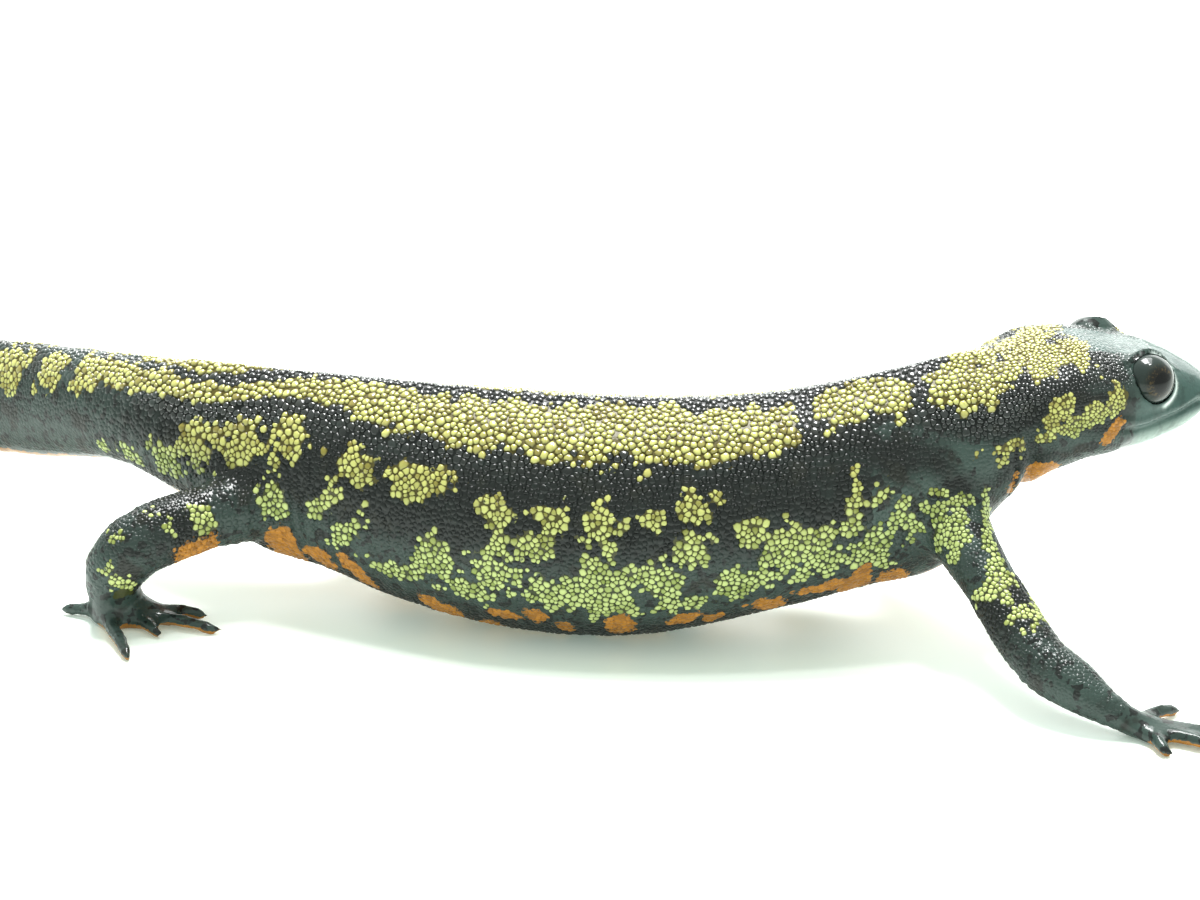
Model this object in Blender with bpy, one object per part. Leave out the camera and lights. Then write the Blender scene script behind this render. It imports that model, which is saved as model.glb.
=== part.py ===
"""A sword-tailed newt at life size, standing with its belly on the ground and its body bent to the left.

The body is modelled whole, in millimetres: one loft from snout to tail tip, with four limbs, the lids
and the neck glands laid into it. It is fused into one surface, cut flat where it meets the ground, and
parted into its named pieces with thin cuts. Heading 0 looks along +X, and a positive heading turns left.
"""

import functools
import math

import bmesh
import bpy
import numpy as np
from mathutils import Matrix, Vector

# ---------------------------------------------------------------- driving dimensions, in millimetres
MM = 0.001
SNOUT_TO_VENT = 80.0
TOTAL_LENGTH = 167.0
PART_GAP = 0.3  # width of each thin cut
FUSE_VOXEL = 0.4
TRIANGLES = 4900  # of the whole body, before it is parted

# The loft: place, distance from the snout, heading in degrees, height of the back, height of the
# underside, half width, and how square the section is above and below its widest level.
STATIONS = (
    ("snout tip", 0.0, 23, 18.1, 17.4, 2.3, 2.2, 2.2),
    ("nostrils", 0.9, 23, 19.2, 16.9, 3.9, 2.3, 2.3),
    ("lips", 3.2, 23, 20.8, 15.2, 5.2, 2.4, 2.4),
    ("eyes", 7.2, 22, 22.0, 14.1, 6.2, 2.5, 2.5),
    ("jaw corner", 13.0, 18, 23.1, 13.6, 7.2, 2.5, 2.6),
    ("neck", 17.0, 13, 22.3, 11.4, 6.5, 2.2, 2.3),
    ("shoulders", 21.5, 8, 21.6, 5.5, 6.5, 2.1, 2.2),
    ("chest", 27.5, 4, 20.2, 4.0, 7.2, 2.1, 2.2),
    ("ribs", 35.5, 0, 18.8, 2.0, 8.4, 2.1, 2.15),
    ("belly", 45.5, -5, 18.3, -0.2, 9.1, 2.1, 2.1),
    ("belly back", 54.5, -12, 18.4, -0.2, 8.9, 2.1, 2.1),
    ("groin", 64.0, -19, 18.3, 1.2, 7.2, 2.1, 2.1),
    ("hips", 69.5, -22, 18.15, 2.7, 6.5, 2.1, 2.1),
    ("pelvis", 75.0, -26, 17.8, 3.2, 5.8, 2.1, 2.1),
    ("vent", SNOUT_TO_VENT, -30, 17.5, 5.2, 5.0, 2.0, 2.0),
    ("tail root", 88.0, -37, 16.8, 7.3, 3.9, 1.9, 1.9),
    ("tail rise", 100.0, -43, 15.2, 5.1, 3.0, 1.8, 1.8),
    ("tail fall", 115.0, -36, 12.4, 2.0, 2.3, 1.7, 1.7),
    ("tail blade", 132.0, -16, 9.6, -0.2, 1.7, 1.6, 1.7),
    ("tail sword", 150.0, 0, 7.2, -0.2, 1.2, 1.6, 1.8),
    ("tail point", 161.0, 8, 4.4, -0.2, 0.8, 1.8, 1.9),
    ("tail tip", TOTAL_LENGTH, 11, 1.5, -0.1, 0.5, 2.0, 2.0),
)
WAIST = (3.0, 0.5)  # where the spine passes WAIST_AT, seen from above
WAIST_AT = 45.0
RING_POINTS = 40
RING_STEP = 1.2
WIDEST_LEVEL = 0.47  # of the way from the underside to the back
RIDGE = (0.45, 0.9, 19.0, 84.0)  # vertebral ridge: height, half width, first and last distance

# Head furniture: distance from the snout, offset from the middle, height, radii along/across/up.
EYE_AT, EYE_OUT, EYE_HEIGHT, EYE_RADIUS = 7.5, 4.75, 20.25, 1.95
LID_RADII = (2.6, 1.95, 2.35)
GLAND_AT, GLAND_OUT, GLAND_HEIGHT, GLAND_RADII = 12.8, 4.1, 19.4, (5.0, 3.2, 3.0)
JAW_AT, JAW_OUT, JAW_HEIGHT, JAW_RADII = 11.8, 4.5, 17.0, (4.2, 2.9, 2.3)

# Limbs: points down the middle as (x, y, z, radius), with the elbow or knee third, and the cuts by their
# place along those points. Then the palm or sole, and for each digit the bearing of its root, the bearing
# of its tip, and how far the tip reaches.
LIMBS = {
    "front_right": {
        "path": (
            (26.0, -3.2, 11.4, 3.0),
            (29.0, -9.5, 7.8, 2.2),
            (32.2, -15.4, 4.2, 2.25),
            (34.7, -17.8, 3.0, 2.05),
            (36.5, -19.2, 2.1, 1.55),
            (38.3, -20.0, 1.3, 1.1),
        ),
        "names": ("upper_arm", "forearm", "hand"),
        "cuts": (1.1, 2.0, 4.65),
        "palm": (39.6, -20.1),
        "palm_radii": (1.8, 1.5, 0.9),
        "digits": ((95, 52, 4.6), (8, -14, 6.3), (-34, -33, 6.8), (-76, -72, 4.0)),
    },
    "front_left": {
        "path": (
            (24.6, 7.4, 11.0, 3.0),
            (20.4, 11.6, 8.4, 2.2),
            (16.8, 15.0, 6.2, 2.2),
            (16.2, 18.0, 4.4, 2.05),
            (16.4, 20.4, 2.7, 1.55),
            (16.8, 22.2, 1.4, 1.15),
        ),
        "names": ("upper_arm", "forearm", "hand"),
        "cuts": (1.1, 2.0, 4.65),
        "palm": (17.2, 23.4),
        "palm_radii": (1.8, 1.5, 0.9),
        "digits": ((28, 26, 4.2), (66, 66, 6.0), (104, 106, 6.6), (146, 150, 4.2)),
    },
    "hind_right": {
        "path": (
            (-24.5, 5.2, 8.8, 3.3),
            (-30.6, 2.6, 8.1, 2.65),
            (-35.5, 0.2, 7.0, 2.75),
            (-37.8, 0.2, 4.5, 2.5),
            (-37.9, 0.9, 2.2, 2.1),
        ),
        "names": ("thigh", "shank", "foot"),
        "cuts": (1.0, 2.0, 3.65),
        "palm": (-37.2, 1.0),
        "palm_radii": (2.8, 2.1, 1.4),
        "digits": ((8, 2, 6.0), (-20, -21, 7.9), (-52, -50, 4.5), (-125, -82, 7.8), (170, 166, 5.0)),
    },
    "hind_left": {
        "path": (
            (-22.4, 10.4, 8.8, 3.3),
            (-18.4, 15.6, 8.4, 2.6),
            (-15.4, 20.0, 7.4, 2.55),
            (-16.0, 23.4, 4.8, 2.2),
            (-17.2, 25.6, 2.2, 1.75),
        ),
        "names": ("thigh", "shank", "foot"),
        "cuts": (1.0, 2.0, 3.65),
        "palm": (-16.6, 27.0),
        "palm_radii": (2.2, 2.0, 1.2),
        "digits": ((-10, -8, 5.2), (28, 24, 7.2), (62, 58, 8.2), (98, 96, 7.6), (142, 150, 5.0)),
    },
}
DIGIT_RADII = (0.68, 0.6, 0.5)
DIGIT_HEIGHT = 0.42  # under its radius, so that each digit stands on a small flat
LIMB_CUT_HALVES = (3.1, 3.4, 2.4)  # half the width of the cuts by the body, across the bend and at the end

# Cuts across the body, by distance from the snout, and what lies between them.
BODY_CUTS = (15.6, 19.0, 34.0, 61.0, 82.0, 104.0, 131.0)
BODY_CUT_MARGIN = 1.1
BODY_PARTS = ("head", "neck", "chest", "belly", "pelvis", "tail_base", "tail_middle", "tail_tip")

# Plain finishes: colour, roughness.
SKIN = ((0.035, 0.042, 0.042, 1.0), 0.32)
EYE = ((0.012, 0.009, 0.006, 1.0), 0.05)


# ---------------------------------------------------------------- spine and sections
def column(n):
    return np.array([row[n] for row in STATIONS], float)


def through(values, at):
    """A smooth curve through one value per station, read at distances from the snout."""
    places = column(1)
    slopes = np.gradient(values, places)
    at = np.clip(at, places[0], places[-1])
    i = np.clip(np.searchsorted(places, at, side="right") - 1, 0, len(places) - 2)
    span = places[i + 1] - places[i]
    t = (at - places[i]) / span
    rise = t * t * (3 - 2 * t)
    bend = span * (t * (1 - t) ** 2 * slopes[i] - t * t * (1 - t) * slopes[i + 1])
    return values[i] * (1 - rise) + values[i + 1] * rise + bend


@functools.cache
def spine(at):
    """(point on the ground under the spine, heading) at a distance from the snout."""
    fine = np.arange(0.0, TOTAL_LENGTH + 0.1, 0.1)
    heading = np.radians(through(column(2), fine))
    x = -np.cumsum(np.cos(heading)) * 0.1
    y = -np.cumsum(np.sin(heading)) * 0.1
    x += WAIST[0] - np.interp(WAIST_AT, fine, x)
    y += WAIST[1] - np.interp(WAIST_AT, fine, y)
    return Vector((np.interp(at, fine, x), np.interp(at, fine, y))), float(np.interp(at, fine, heading))


def body_point(at, out, height):
    """The point that lies `out` to the left of the spine at a distance from the snout."""
    ground, heading = spine(at)
    return Vector((ground.x - out * math.sin(heading), ground.y + out * math.cos(heading), height))


def section(at):
    """One ring of the loft, counter-clockwise seen from behind."""
    top, bottom, half_width, above, below = (float(through(column(n), at)) for n in range(3, 8))
    level = bottom + WIDEST_LEVEL * (top - bottom)
    ring = []
    for k in range(RING_POINTS):
        angle = 2 * math.pi * k / RING_POINTS
        c, s = math.cos(angle), math.sin(angle)
        power = 2 / (above if s >= 0 else below)
        out = half_width * math.copysign(abs(c) ** power, c)
        height = level + (top - level if s >= 0 else level - bottom) * math.copysign(abs(s) ** power, s)
        if s > 0 and RIDGE[2] < at < RIDGE[3]:
            height += RIDGE[0] * math.exp(-((out / RIDGE[1]) ** 2))
        ring.append(body_point(at, out, height))
    return ring


# ---------------------------------------------------------------- shapes
def skinned(bm, rings):
    """Adds a closed loft through rings of equal length."""
    loops = [[bm.verts.new(p) for p in ring] for ring in rings]
    for a, b in zip(loops, loops[1:]):
        for k in range(len(a)):
            n = (k + 1) % len(a)
            bm.faces.new((a[k], a[n], b[n], b[k]))
    bm.faces.new(loops[0][::-1])
    bm.faces.new(loops[-1])


def tube(bm, path, radii):
    """Adds a round-ended tube through points, with a radius at each."""
    steps = np.linspace(0, len(path) - 1, 6 * (len(path) - 1) + 1)
    centres = [catmull(path, t) for t in steps]
    widths = np.interp(steps, range(len(path)), radii)
    rings = []
    for i, (centre, width) in enumerate(zip(centres, widths)):
        ahead = centres[min(i + 1, len(centres) - 1)] - centres[max(i - 1, 0)]
        turn = ahead.to_track_quat("Z", "Y").to_matrix()
        circle = [(math.cos(a), math.sin(a)) for a in np.linspace(0, 2 * math.pi, 17)[:-1]]
        rings.append([centre + turn @ Vector((width * c, width * s, 0)) for c, s in circle])
    skinned(bm, rings)
    ball(bm, path[0], (widths[0],) * 3)
    ball(bm, path[-1], (widths[-1],) * 3)


def catmull(path, t):
    """A point on the smooth curve through a path, at parameter t."""
    i = min(int(t), len(path) - 2)
    t -= i
    a, b, c, d = (path[min(max(i + k, 0), len(path) - 1)] for k in (-1, 0, 1, 2))
    return 0.5 * (2 * b + (c - a) * t + (2 * a - 5 * b + 4 * c - d) * t**2 + (3 * b - a - 3 * c + d) * t**3)


def ball(bm, centre, radii, heading=0.0):
    """Adds an ellipsoid turned about the vertical."""
    place = Matrix.Translation(centre) @ Matrix.Rotation(heading, 4, "Z") @ Matrix.Diagonal((*radii, 1))
    bmesh.ops.create_icosphere(bm, subdivisions=3, radius=1.0, matrix=place)


def slab(bm, centre, direction, half_sizes):
    """Adds a thin plate across a direction, which makes one cut: half its width, half its height."""
    turn = Vector(direction).to_track_quat("Z", "Y").to_matrix().to_4x4()
    size = Matrix.Diagonal((2 * half_sizes[0], 2 * half_sizes[1], PART_GAP, 1))
    bmesh.ops.create_cube(bm, size=1.0, matrix=Matrix.Translation(centre) @ turn @ size)


def new_object(name, bm):
    bmesh.ops.recalc_face_normals(bm, faces=bm.faces)
    mesh = bpy.data.meshes.new(name)
    bm.to_mesh(mesh)
    bm.free()
    obj = bpy.data.objects.new(name, mesh)
    bpy.context.scene.collection.objects.link(obj)
    return obj


def settle(obj):
    """Applies the object's modifiers to its mesh."""
    graph = bpy.context.evaluated_depsgraph_get()
    mesh = bpy.data.meshes.new_from_object(obj.evaluated_get(graph))
    obj.modifiers.clear()
    obj.data = mesh


def finish(name, colour, roughness):
    material = bpy.data.materials.new(name)
    material.use_nodes = True
    shader = material.node_tree.nodes["Principled BSDF"]
    shader.inputs["Base Color"].default_value = colour
    shader.inputs["Roughness"].default_value = roughness
    return material


# ---------------------------------------------------------------- the body, whole
def limb_points(limb):
    return [Vector(row[:3]) for row in limb["path"]]


def digit_path(limb, digit):
    """Root, middle and tip of one digit, all just over the ground."""
    root_bearing, tip_bearing, reach = digit
    palm = Vector((*limb["palm"], 0))
    root_out = 0.72 * limb["palm_radii"][0]
    root, tip = (
        palm + Vector((out * math.cos(math.radians(b)), out * math.sin(math.radians(b)), DIGIT_HEIGHT))
        for out, b in ((root_out, root_bearing), (reach, tip_bearing))
    )
    middle = root.lerp(tip, 0.5) + Vector((0, 0, 0.3))
    return root + Vector((0, 0, 0.2)), middle, tip


def add_axis(bm):
    """Head, trunk and tail in one loft."""
    places = np.arange(RING_STEP, TOTAL_LENGTH, RING_STEP)
    skinned(bm, [section(at) for at in (0.0, 0.3, 0.7, *places, TOTAL_LENGTH)])


def add_head_forms(bm):
    """Lids over the eyes, the glands behind them, and the cheeks over the jaw hinges."""
    for side in (-1, 1):
        for at, out, height, radii in (
            (EYE_AT, EYE_OUT - 0.45, EYE_HEIGHT, LID_RADII),
            (GLAND_AT, GLAND_OUT, GLAND_HEIGHT, GLAND_RADII),
            (JAW_AT, JAW_OUT, JAW_HEIGHT, JAW_RADII),
        ):
            ball(bm, body_point(at, side * out, height), radii, spine(at)[1])


def add_limb(bm, limb):
    """Upper and lower length, palm and digits."""
    points = limb_points(limb)
    tube(bm, points, [row[3] for row in limb["path"]])
    palm = Vector((*limb["palm"], 0.75))
    end = points[-1]
    ball(bm, palm, limb["palm_radii"], math.atan2(palm.y - end.y, palm.x - end.x))
    tube(bm, (end, palm), (limb["path"][-1][3], 0.8))
    for digit in limb["digits"]:
        tube(bm, digit_path(limb, digit), DIGIT_RADII)


def fused_body():
    """Everything fused into one closed surface, smoothed where limbs grow out, and thinned."""
    bm = bmesh.new()
    add_axis(bm)
    add_head_forms(bm)
    for limb in LIMBS.values():
        add_limb(bm, limb)
    body = new_object("body", bm)
    fuse = body.modifiers.new("fuse", "REMESH")
    fuse.mode = "VOXEL"
    fuse.voxel_size = FUSE_VOXEL
    settle(body)
    even = body.modifiers.new("even", "SMOOTH")
    even.iterations = 4
    blend = body.modifiers.new("blend", "SMOOTH")
    blend.iterations = 16
    blend.vertex_group = blended(body).name
    thin = body.modifiers.new("thin", "DECIMATE")
    thin.ratio = TRIANGLES / (2 * len(body.data.polygons))
    settle(body)
    return body


def blended(body):
    """Marks the limb roots and the head forms, which run softly into the body."""
    group = body.vertex_groups.new(name="blended")
    points = np.array([v.co[:] for v in body.data.vertices])
    places = [(row["path"][0][:3], 8.0, 1.0) for row in LIMBS.values()]
    places.append((body_point(10.0, 0, 18.0), 11.0, 0.35))
    for centre, radius, weight in places:
        near = np.linalg.norm(points - np.array(centre), axis=1) < radius
        group.add([int(i) for i in np.flatnonzero(near)], weight, "REPLACE")
    return group


# ---------------------------------------------------------------- the cuts
def on_path(points, place):
    """(point, direction) at a place along a path: 1.5 is halfway between the second and third points."""
    ahead = catmull(points, place + 0.05) - catmull(points, place - 0.05)
    return catmull(points, place), ahead.normalized()


def reference_points():
    """A point near the middle of every piece, which names it once the body is parted."""
    edges = (0.0, *BODY_CUTS, TOTAL_LENGTH)
    points = {}
    for name, a, b in zip(BODY_PARTS, edges, edges[1:]):
        middle = (a + b) / 2
        height = (float(through(column(3), middle)) + float(through(column(4), middle))) / 2
        points[name] = body_point(middle, 0, height)
    for place, limb in LIMBS.items():
        path = limb_points(limb)
        upper, lower, palm = limb["names"]
        first, second, third = limb["cuts"]
        points[f"{upper}_{place}"] = catmull(path, (first + second) / 2)
        points[f"{lower}_{place}"] = catmull(path, (second + third) / 2)
        points[f"{palm}_{place}"] = Vector((*limb["palm"], 0.9))
    return points


def ground_cutter(bm):
    ground = Matrix.Translation((0, 0, -10)) @ Matrix.Diagonal((400, 400, 20, 1))
    bmesh.ops.create_cube(bm, size=1.0, matrix=ground)


def body_cutter(bm):
    for at in BODY_CUTS:
        heading = spine(at)[1]
        half = float(through(column(5), at)) + BODY_CUT_MARGIN
        slab(bm, body_point(at, 0, 12.0), (math.cos(heading), math.sin(heading), 0), (half, 13.0))


def limb_cutter(bm):
    for limb in LIMBS.values():
        points = limb_points(limb)
        for at, half in zip(limb["cuts"], LIMB_CUT_HALVES):
            slab(bm, *on_path(points, at), (half, half))


def socket_cutter(bm):
    for side in (-1, 1):
        centre = body_point(EYE_AT, side * EYE_OUT, EYE_HEIGHT)
        ball(bm, centre, (EYE_RADIUS + PART_GAP,) * 3)


def cut(body, fill):
    """Takes one group of cutters, which don't touch each other, out of the body."""
    bm = bmesh.new()
    fill(bm)
    tool = new_object(fill.__name__, bm)
    modifier = body.modifiers.new("cut", "BOOLEAN")
    modifier.operation = "DIFFERENCE"
    modifier.solver = "EXACT"
    modifier.object = tool
    settle(body)
    bpy.data.objects.remove(tool)


def loose_pieces(bm):
    """The vertices of each loose piece, largest piece first."""
    left = set(bm.verts)
    pieces = []
    while left:
        group, todo = set(), [next(iter(left))]
        while todo:
            v = todo.pop()
            if v not in group:
                group.add(v)
                todo += [e.other_vert(v) for e in v.link_edges]
        left -= group
        pieces.append(sorted(group, key=lambda v: v.index))
    return sorted(pieces, key=lambda verts: (-len(verts), verts[0].index))


def parted(body):
    """Cuts the body and makes one object of each loose piece, named by the nearest reference point."""
    for fill in (ground_cutter, body_cutter, limb_cutter, socket_cutter):
        cut(body, fill)
    bm = bmesh.new()
    bm.from_mesh(body.data)
    bpy.data.objects.remove(body)
    points = reference_points()
    made = []
    for verts in loose_pieces(bm):
        centre = sum((v.co for v in verts), Vector()) / len(verts)
        name = min(points, key=lambda n: (points[n] - centre).length)
        del points[name]
        index = {v: i for i, v in enumerate(verts)}
        faces = sorted({f for v in verts for f in v.link_faces}, key=lambda f: f.index)
        mesh = bpy.data.meshes.new(name)
        mesh.from_pydata([v.co[:] for v in verts], [], [[index[v] for v in f.verts] for f in faces])
        obj = bpy.data.objects.new(name, mesh)
        bpy.context.scene.collection.objects.link(obj)
        made.append(obj)
    bm.free()
    return made


def eyeballs():
    made = []
    for side, name in ((-1, "eye_right"), (1, "eye_left")):
        bm = bmesh.new()
        ball(bm, body_point(EYE_AT, side * EYE_OUT, EYE_HEIGHT), (EYE_RADIUS,) * 3)
        made.append(new_object(name, bm))
    return made


def main():
    for obj in list(bpy.data.objects):
        bpy.data.objects.remove(obj)
    flesh = parted(fused_body())
    eyes = eyeballs()
    for obj in flesh + eyes:
        colour, roughness = EYE if obj in eyes else SKIN
        obj.data.materials.append(finish(obj.name, colour, roughness))
    corners = np.concatenate([np.array([v.co[:] for v in o.data.vertices]) for o in flesh + eyes])
    low, high = corners.min(0), corners.max(0)
    centre = Matrix.Translation((-(low[0] + high[0]) / 2, -(low[1] + high[1]) / 2, -low[2]))
    for obj in flesh + eyes:
        obj.data.transform(Matrix.Scale(MM, 4) @ centre)
        obj.data.shade_smooth()
        obj.data.set_sharp_from_angle(angle=math.radians(50))


main()
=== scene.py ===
"""A sword-tailed newt, life size, as a museum model stands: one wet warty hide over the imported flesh.

Metres, +Z up. The newt's snout points to +X, its belly rests on the floor at z = 0.
"""

import math

import bpy
import numpy as np
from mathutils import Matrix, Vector, kdtree, noise
from mathutils.bvhtree import BVHTree


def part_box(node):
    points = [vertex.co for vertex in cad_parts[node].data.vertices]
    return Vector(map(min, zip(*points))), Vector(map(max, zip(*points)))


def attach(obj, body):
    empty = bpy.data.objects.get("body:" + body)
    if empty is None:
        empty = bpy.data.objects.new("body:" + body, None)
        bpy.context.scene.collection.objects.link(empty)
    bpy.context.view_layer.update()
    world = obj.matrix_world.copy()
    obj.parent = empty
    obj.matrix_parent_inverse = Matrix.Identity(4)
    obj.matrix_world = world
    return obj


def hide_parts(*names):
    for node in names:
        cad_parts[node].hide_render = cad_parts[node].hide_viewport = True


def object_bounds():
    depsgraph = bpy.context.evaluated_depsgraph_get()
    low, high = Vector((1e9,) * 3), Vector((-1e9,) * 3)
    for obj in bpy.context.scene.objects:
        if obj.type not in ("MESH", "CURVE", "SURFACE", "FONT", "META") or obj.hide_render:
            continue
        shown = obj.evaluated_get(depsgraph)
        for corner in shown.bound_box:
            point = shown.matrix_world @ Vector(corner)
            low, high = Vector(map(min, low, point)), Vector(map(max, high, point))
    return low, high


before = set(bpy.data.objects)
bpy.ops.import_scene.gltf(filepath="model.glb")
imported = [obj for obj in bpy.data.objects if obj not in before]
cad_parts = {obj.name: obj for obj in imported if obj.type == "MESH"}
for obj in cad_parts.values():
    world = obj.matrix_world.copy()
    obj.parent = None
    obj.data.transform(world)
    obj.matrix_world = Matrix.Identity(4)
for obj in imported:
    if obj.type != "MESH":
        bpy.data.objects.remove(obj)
cad_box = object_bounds()
MM = 0.001

# ------------------------------------------------------------------------------------ the hide
# One moist skin covers the newt from lips to tail point, with no seam anywhere. It is made as a
# taxidermist's mould is: the parts of the flesh are joined and swelled until their parting cuts
# close, wrapped in one even mesh, then drawn in again by the depth of the granules it carries.

FLESH = [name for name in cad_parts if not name.startswith("eye_")]
LIMBS = ("front_right", "front_left", "hind_right", "hind_left")
SWELL = 0.25 * MM
GRANULE_DEPTH = 0.12 * MM
SKIN_GRID = 0.35 * MM
WELD = 1e-6
FAIR_ROUNDS = 60
LAST_FAIR_ROUNDS = 6
DRAWN_ROUNDS = 14
DRAWN_SHARE = 0.6
FINE_ROUND_EYE = 3.3 * MM
FINE_SNOUT = 13.0 * MM
FINE_MOUTH = 1.5 * MM
MOUTH_HEIGHT = 17.4 * MM


def only(*pieces):
    """Selects these pieces alone, the first of them active."""
    bpy.ops.object.select_all(action="DESELECT")
    for piece in pieces:
        piece.select_set(True)
    bpy.context.view_layer.objects.active = pieces[0]


def applied(piece, kind, **settings):
    """Adds a modifier with these settings and applies it."""
    only(piece)
    modifier = piece.modifiers.new(kind, kind)
    for key, value in settings.items():
        setattr(modifier, key, value)
    bpy.ops.object.modifier_apply(modifier=modifier.name)


def read(items, key, width=1, kind=np.float64):
    """One row per vertex, edge or face of what foreach_get reads."""
    values = np.empty(len(items) * width, kind)
    items.foreach_get(key, values)
    return values.reshape(-1, width) if width > 1 else values


def write_points(mesh, points):
    """Puts the mesh's vertices at these points."""
    mesh.vertices.foreach_set("co", points.astype(np.float32).ravel())
    mesh.update()


def neighbours(mesh):
    """Each vertex's neighbours, padded to one width with the vertex itself, and how many it has."""
    edges = read(mesh.edges, "vertices", 2, np.int32)
    ends = np.concatenate([edges, edges[:, ::-1]])
    ends = ends[np.argsort(ends[:, 0], kind="stable")]
    count = np.bincount(ends[:, 0], minlength=len(mesh.vertices))
    place = np.arange(len(ends)) - np.repeat(np.cumsum(count) - count, count)
    table = np.tile(np.arange(len(count))[:, None], (1, count.max()))
    table[ends[:, 0], place] = ends[:, 1]
    return table, count


def relaxed(values, around, count, share):
    """Moves each value a share of the way to its neighbours' mean."""
    mean = (values[around].sum(1) - values * (around.shape[1] - count)[:, None]) / count[:, None]
    return values + share * (mean - values)


def faired(points, around, count, rounds, shrink=0.5, swell=-0.53):
    """Smooths a mesh without thinning its toes: each pass in is followed by one out."""
    for _ in range(rounds):
        points = relaxed(points, around, count, shrink)
        points = relaxed(points, around, count, swell)
    return points


copies = []
for name in FLESH:
    copies.append(bpy.data.objects.new("hide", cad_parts[name].data.copy()))
    bpy.context.scene.collection.objects.link(copies[-1])
only(*copies)
bpy.ops.object.join()
hide = copies[0]
bpy.ops.object.mode_set(mode="EDIT")
bpy.ops.mesh.select_all(action="SELECT")
bpy.ops.mesh.remove_doubles(threshold=WELD)
bpy.ops.object.mode_set(mode="OBJECT")
applied(hide, "DISPLACE", strength=SWELL, mid_level=0.0)
applied(hide, "REMESH", mode="VOXEL", voxel_size=SKIN_GRID, adaptivity=0.0)
write_points(hide.data, faired(read(hide.data.vertices, "co", 3), *neighbours(hide.data), FAIR_ROUNDS))


def flesh_tree():
    """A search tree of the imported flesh's faces, and the index in FLESH of each face's node."""
    corners = []
    faces = []
    owner = []
    for index, name in enumerate(FLESH):
        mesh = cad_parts[name].data
        start = len(corners)
        corners += [vertex.co for vertex in mesh.vertices]
        faces += [[start + corner for corner in face.vertices] for face in mesh.polygons]
        owner += [index] * len(mesh.polygons)
    return BVHTree.FromPolygons(corners, faces), np.array(owner)


def nearest_flesh(points):
    """Each point's height above the nearest flesh and that flesh's index in FLESH."""
    height = np.empty(len(points))
    face = np.empty(len(points), int)
    for index, point in enumerate(points):
        spot, normal, face[index], gap = tree.find_nearest(Vector(point))
        height[index] = math.copysign(gap, (Vector(point) - spot).dot(normal))
    return height, owner[face]


def drawn_in(mesh):
    """Brings the hide to its depth below the flesh's outside, evenly, with no depth on hands and feet."""
    around, count = neighbours(mesh)
    points = read(mesh.vertices, "co", 3)
    height, flesh = nearest_flesh(points)
    bare = np.isin(flesh, [index for index, name in enumerate(FLESH) if name.startswith(("hand", "foot"))])
    move = (height + GRANULE_DEPTH * (1 - bare))[:, None]
    for _ in range(DRAWN_ROUNDS):
        move = relaxed(move, around, count, DRAWN_SHARE)
    write_points(mesh, points - read(mesh.vertices, "normal", 3) * move)


tree, owner = flesh_tree()
for _ in range(2):
    drawn_in(hide.data)
write_points(hide.data, faired(read(hide.data.vertices, "co", 3), *neighbours(hide.data), LAST_FAIR_ROUNDS))

# the face carries the finest forms, so its faces are split once more before it is shaped
EYES = ("eye_right", "eye_left")
eye_centre = {name: sum(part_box(name), Vector()) / 2 for name in EYES}
EYE_RADIUS = (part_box("eye_right")[1].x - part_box("eye_right")[0].x) / 2
middle = read(hide.data.polygons, "center", 3)
fine = np.zeros(len(middle), bool)
for name in EYES:
    fine |= np.linalg.norm(middle - np.array(eye_centre[name]), axis=1) < FINE_ROUND_EYE
fine |= (middle[:, 0] > cad_box[1].x - FINE_SNOUT) & (np.abs(middle[:, 2] - MOUTH_HEIGHT) < FINE_MOUTH)
hide.data.polygons.foreach_set("select", fine)
bpy.ops.object.mode_set(mode="EDIT")
bpy.ops.mesh.select_mode(type="FACE")
bpy.ops.mesh.subdivide(number_cuts=1)
bpy.ops.object.mode_set(mode="OBJECT")

# ---------------------------------------------------------------------- the hide's own measures
# Skin markings follow the animal and not the room, so each point of the hide is given its place on
# it: how far back from the snout along the spine, how far round from the back's middle to the
# belly's, on which side, and on which limb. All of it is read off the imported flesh.

BODY = ("head", "neck", "chest", "belly", "pelvis", "tail_base", "tail_middle", "tail_tip")
LIMB_PARTS = {"front": ("upper_arm_", "forearm_", "hand_"), "hind": ("thigh_", "shank_", "foot_")}
LIMB_NODES = {limb: [part + limb for part in LIMB_PARTS[limb.split("_")[0]]] for limb in LIMBS}
CUT_REACH = 1.2 * MM
CUT_SPREAD = 1.5
POINTS_AT_ONCE = 20000
SPINE_STEP = 1.0 * MM
SPINE_SLAB = 2.5 * MM
SPINE_FAIR = 4
SECTION_STEP = 1.5 * MM
WIDEST_SHARE = 0.47
HEAD_LENGTH = 14.0 * MM
SLIMMEST_SHARE = 0.49


def moving_mean(values, reach):
    """Evens a row of numbers out over so many neighbours each way, its ends kept."""
    padded = np.concatenate([np.repeat(values[:1], reach), values, np.repeat(values[-1:], reach)])
    return np.convolve(padded, np.ones(2 * reach + 1) / (2 * reach + 1), mode="valid")


def node_points(name):
    """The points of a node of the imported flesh."""
    return read(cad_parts[name].data.vertices, "co", 3)


def veined(points, size, offset=0.0):
    """A smooth random field with features of this size, about -1 to 1. Each offset gives another field."""
    scale = 1.0 / size
    shift = Vector((offset, offset, offset))
    return np.array([noise.noise(Vector(point) * scale + shift) for point in points])


def meeting(name, others):
    """The middle of the cut where this node meets the others."""
    there = np.concatenate([node_points(other) for other in others])
    here = node_points(name)
    gap = np.array([np.min(np.linalg.norm(there - point, axis=1)) for point in here])
    return here[gap < max(CUT_REACH, gap.min() * CUT_SPREAD)].mean(0)


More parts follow.
